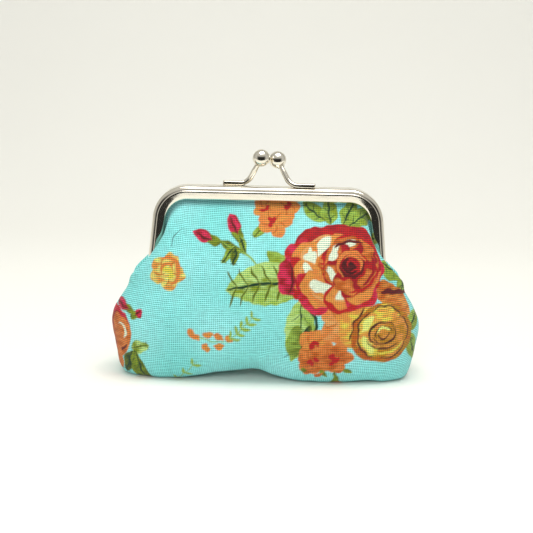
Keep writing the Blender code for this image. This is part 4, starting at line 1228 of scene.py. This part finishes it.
def clasp(side, hand):
    """A strip that lies on the rail, bends up and rounds into the rod that carries the ball."""
    low, high = box_mm(f"{side}_clasp_stem")
    ball = ball_centre(side)
    outer_x = high[0] if hand > 0 else -low[0]
    side_y, level = -hand * STRIP_Y, RAIL_TOP_Z + STRIP_LEVEL
    first = np.array([hand * outer_x, side_y, level])
    begin = np.array([hand * STRIP_END_X, side_y, level])
    bend = np.array([hand * BEND_X, side_y, level + BEND_RISE])
    rising = (ball - bend) / np.linalg.norm(ball - bend)
    end = ball - rising * ROD_STOPS_SHORT
    leave = bend + (end - bend) * 0.36
    path = [first * (1 - t) + begin * t for t in np.linspace(0, 1, 20)[:-1]]
    for t in np.linspace(0, 1, 36):
        path.append(begin * (1 - t) ** 2 + bend * 2 * t * (1 - t) + leave * t * t)
    path += [leave * (1 - t) + end * t for t in np.linspace(0, 1, 22)[1:]]
    path = np.array(path)
    lengths = run_lengths(path)
    tangent = np.gradient(path, axis=0)
    tangent /= np.linalg.norm(tangent, axis=1)[:, None]
    lateral = np.array([0.0, 1.0, 0.0]) - tangent * tangent[:, 1:2]
    lateral /= np.linalg.norm(lateral, axis=1)[:, None]
    upward = np.cross(tangent, lateral)
    whole = lengths[-1]
    turned = smooth(lengths, whole * 0.30, whole * 0.62)
    wide, thick = (a + (b - a) * turned for a, b in zip(STRIP_SIZE, ROD_SIZE))
    rounding = smooth(lengths, whole * 0.22, whole * 0.55)
    square = STRIP_SQUARENESS + (ROD_SQUARENESS - STRIP_SQUARENESS) * rounding
    size = 1 - NECK_SHRINK * smooth(lengths, whole * 0.8, whole)
    size[0] = TIP_SIZE
    angles = np.linspace(0, 2 * math.pi, 40, endpoint=False)
    c, s = np.cos(angles), np.sin(angles)
    rings = np.empty((len(path), len(angles), 3))
    for k in range(len(path)):
        power = 2 / square[k]
        a = np.sign(c) * np.abs(c) ** power * wide[k] * size[k]
        b = np.sign(s) * np.abs(s) ** power * thick[k] * size[k]
        rings[k] = path[k] + lateral[k] * a[:, None] + upward[k] * b[:, None]
    rings = np.concatenate([rings[:1], rings])  # a softened edge round the strip's end
    rings[1] = rings[2] * 0.75 + rings[1] * 0.25
    stem = new_mesh(f"{side}_stem", *loft(rings), LOOKS["metal"])
    offsets, radii = np.array(COLLAR).T
    collar_line = ball - rising * COLLAR_STOPS_SHORT + rising * offsets[:, None]
    collar = tube_mesh(f"{side}_collar", collar_line, radii, 36, LOOKS["metal"])
    stem = joined(f"{side}_clasp_strip", [stem, collar])
    keep_corners(stem, 38)
    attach(stem, f"{side}_half")
    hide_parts(f"{side}_clasp_stem")
    mesh = bpy.data.meshes.new(f"{side}_clasp_bead")
    work = bmesh.new()
    bmesh.ops.create_uvsphere(work, u_segments=64, v_segments=40, radius=BEAD_RADIUS * MM)
    bmesh.ops.transform(work, matrix=Matrix.Translation(Vector(ball) * MM), verts=work.verts)
    work.to_mesh(mesh)
    work.free()
    mesh.shade_smooth()
    mesh.materials.append(LOOKS["metal"])
    bead = bpy.data.objects.new(f"{side}_clasp_bead", mesh)
    bpy.context.scene.collection.objects.link(bead)
    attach(bead, f"{side}_half")
    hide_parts(f"{side}_clasp_ball")


for side, _, hand in HALVES:
    clasp(side, hand)


# --- rivets and cords ---
def rivet(label, hand):
    outer, inner = OUTER_EAR_FACE_X + EAR_GAP, OUTER_EAR_FACE_X - 2 * STEEL - 2 * EAR_GAP
    dome = [(2.1 * math.sin(a), outer + 0.8 * math.cos(a)) for a in np.linspace(0.02, math.pi / 2, 14)]
    shank = [(2.1, outer), (1.0, outer), (1.0, inner), (1.85, inner)]
    spun = [(1.9 * math.sin(a), inner - 0.75 * math.cos(a)) for a in np.linspace(math.pi / 2, 0.02, 10)]
    profile = np.array(dome + shank + spun)
    angles = np.linspace(0, 2 * math.pi, 48, endpoint=False)
    rings = np.empty((len(profile), len(angles), 3))
    rings[..., 0] = hand * profile[:, 1:]
    rings[..., 1] = profile[:, :1] * np.cos(angles)
    rings[..., 2] = HINGE_Z + profile[:, :1] * np.sin(angles)
    piece = joined(f"{label}_rivet_turned", [new_mesh(f"{label}_raw", *loft(rings), LOOKS["metal"])])
    keep_corners(piece, 40)
    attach(piece, "back_half")
    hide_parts(f"{label}_hinge_rivet")


rivet("left", -1.0)
rivet("right", 1.0)

for side, *_ in HALVES:
    node = frame["nodes"][f"{side}_filler_cord"]
    node.data.materials.clear()
    node.data.materials.append(LOOKS["paper"])
    node.data.shade_smooth()


# --- floor, light and camera ---
# in metres from here on
FLOOR_FRONT_Y = -0.154  # where mirrors stop seeing the floor, so that the room in front is dark to them
SWEEP_START_Y, SWEEP_RADIUS, HALF_WIDTH, WALL_TOP_Z, FRONT_END_Y = 0.30, 0.45, 2.5, 1.6, -2.2


def strip(name, profile, material):
    """A wide sheet of studio paper along a (y, z) profile, in metres."""
    points, faces = [], []
    for y, z in profile:
        points += [(-HALF_WIDTH, y, z), (HALF_WIDTH, y, z)]
    for k in range(len(profile) - 1):
        faces.append((2 * k, 2 * k + 1, 2 * k + 3, 2 * k + 2))
    sheet = new_mesh(name, np.array(points) / MM, faces, material)
    return sheet


def stage_floor():
    """A pale floor that sweeps up far behind, and its front part, which mirrors don't show."""
    look = Look("studio_paper", 0.8)
    mottle = look.noise(3.0, 3.0)
    look.colour(look.mix(mottle, (0.86, 0.855, 0.80), (0.89, 0.885, 0.84)))
    profile = [(FLOOR_FRONT_Y, 0.0), (SWEEP_START_Y, 0.0)]
    for a in np.linspace(0.08, math.pi / 2, 24):
        profile.append((SWEEP_START_Y + SWEEP_RADIUS * math.sin(a), SWEEP_RADIUS * (1 - math.cos(a))))
    profile.append((SWEEP_START_Y + SWEEP_RADIUS, WALL_TOP_Z))
    strip("studio_paper", profile, look.made)
    front = strip("studio_paper_front", [(FRONT_END_Y, 0.0), (FLOOR_FRONT_Y, 0.0)], look.made)
    front.visible_glossy = False


def area_light(name, place, aim, size, power, colour, glossy):
    lamp = bpy.data.lights.new(name, "AREA")
    lamp.shape, lamp.size, lamp.size_y = "RECTANGLE", size[0], size[1]
    lamp.energy, lamp.color = power, colour
    thing = bpy.data.objects.new(name, lamp)
    thing.location = place
    thing.rotation_euler = (Vector(aim) - Vector(place)).to_track_quat("-Z", "Y").to_euler()
    thing.visible_glossy = glossy
    bpy.context.scene.collection.objects.link(thing)


stage_floor()
for name, place, aim, size, power, colour, glossy in (
    ("top_soft", (0.06, -0.12, 0.70), (0, 0.0, 0.03), (0.55, 0.45), 3.2, (0.985, 0.985, 0.98), True),
    ("front_fill", (-0.10, -0.80, 0.42), (0, 0, 0.04), (0.45, 0.35), 3.3, (0.985, 0.985, 0.985), False),
    ("paper_light", (0.0, 0.10, 1.00), (0, 0.75, 0.35), (1.2, 0.3), 1.2, (1.0, 0.985, 0.95), False),
):  # fmt: skip
    area_light(name, place, aim, size, power, colour, glossy)


def world_light():
    """A pale room, darker on the camera's side at eye level, for the mirror finish to show."""
    world = bpy.data.worlds.new("studio")
    bpy.context.scene.world = world
    world.use_nodes = True
    nodes, links = world.node_tree.nodes, world.node_tree.links

    def ramp(source, low, high, to_low, to_high):
        made = nodes.new("ShaderNodeMapRange")
        made.interpolation_type = "SMOOTHSTEP"
        for socket, value in zip(list(made.inputs)[1:5], (low, high, to_low, to_high)):
            socket.default_value = value
        links.new(source, made.inputs[0])
        return made.outputs[0]

    def both(operation, a, b):
        made = nodes.new("ShaderNodeMath")
        made.operation = operation
        for socket, value in zip(made.inputs, (a, b)):
            if isinstance(value, bpy.types.NodeSocket):
                links.new(value, socket)
            else:
                socket.default_value = value
        return made.outputs[0]

    place, axes = nodes.new("ShaderNodeTexCoord"), nodes.new("ShaderNodeSeparateXYZ")
    links.new(place.outputs["Generated"], axes.inputs[0])
    sides = ramp(axes.outputs[1], -0.82, -0.35, 0.03, 0.60)
    above = ramp(axes.outputs[2], 0.16, 0.62, 0.0, 0.62)
    seen = nodes.new("ShaderNodeLightPath").outputs["Is Camera Ray"]
    strength = both("MAXIMUM", sides, above)
    unseen = both("MULTIPLY", strength, both("SUBTRACT", 1.0, seen))
    lit = both("ADD", unseen, both("MULTIPLY", seen, 0.93))
    links.new(lit, nodes["Background"].inputs["Strength"])
    nodes["Background"].inputs["Color"].default_value = (0.98, 0.97, 0.92, 1.0)


world_light()

# --- camera ---
DISTANCE, WIDTH_SEEN, ROLL, SENSOR_MM = 0.375, 0.1926, math.radians(1.3), 36.0
target = Vector((-0.0002, 0.0, 0.0394))
data = bpy.data.cameras.new("camera")
data.sensor_width = SENSOR_MM
data.lens = SENSOR_MM * DISTANCE / WIDTH_SEEN
data.clip_start = 0.01
camera = bpy.data.objects.new("camera", data)
back = Vector((0.0, -math.cos(VIEW_TILT), math.sin(VIEW_TILT)))
camera.location = target + back * DISTANCE
look_at = (-back).to_track_quat("-Z", "Y").to_matrix().to_4x4() @ Matrix.Rotation(ROLL, 4, "Z")
camera.rotation_euler = look_at.to_euler()
bpy.context.scene.collection.objects.link(camera)
bpy.context.scene.camera = camera
bpy.context.scene.view_settings.view_transform = "Standard"
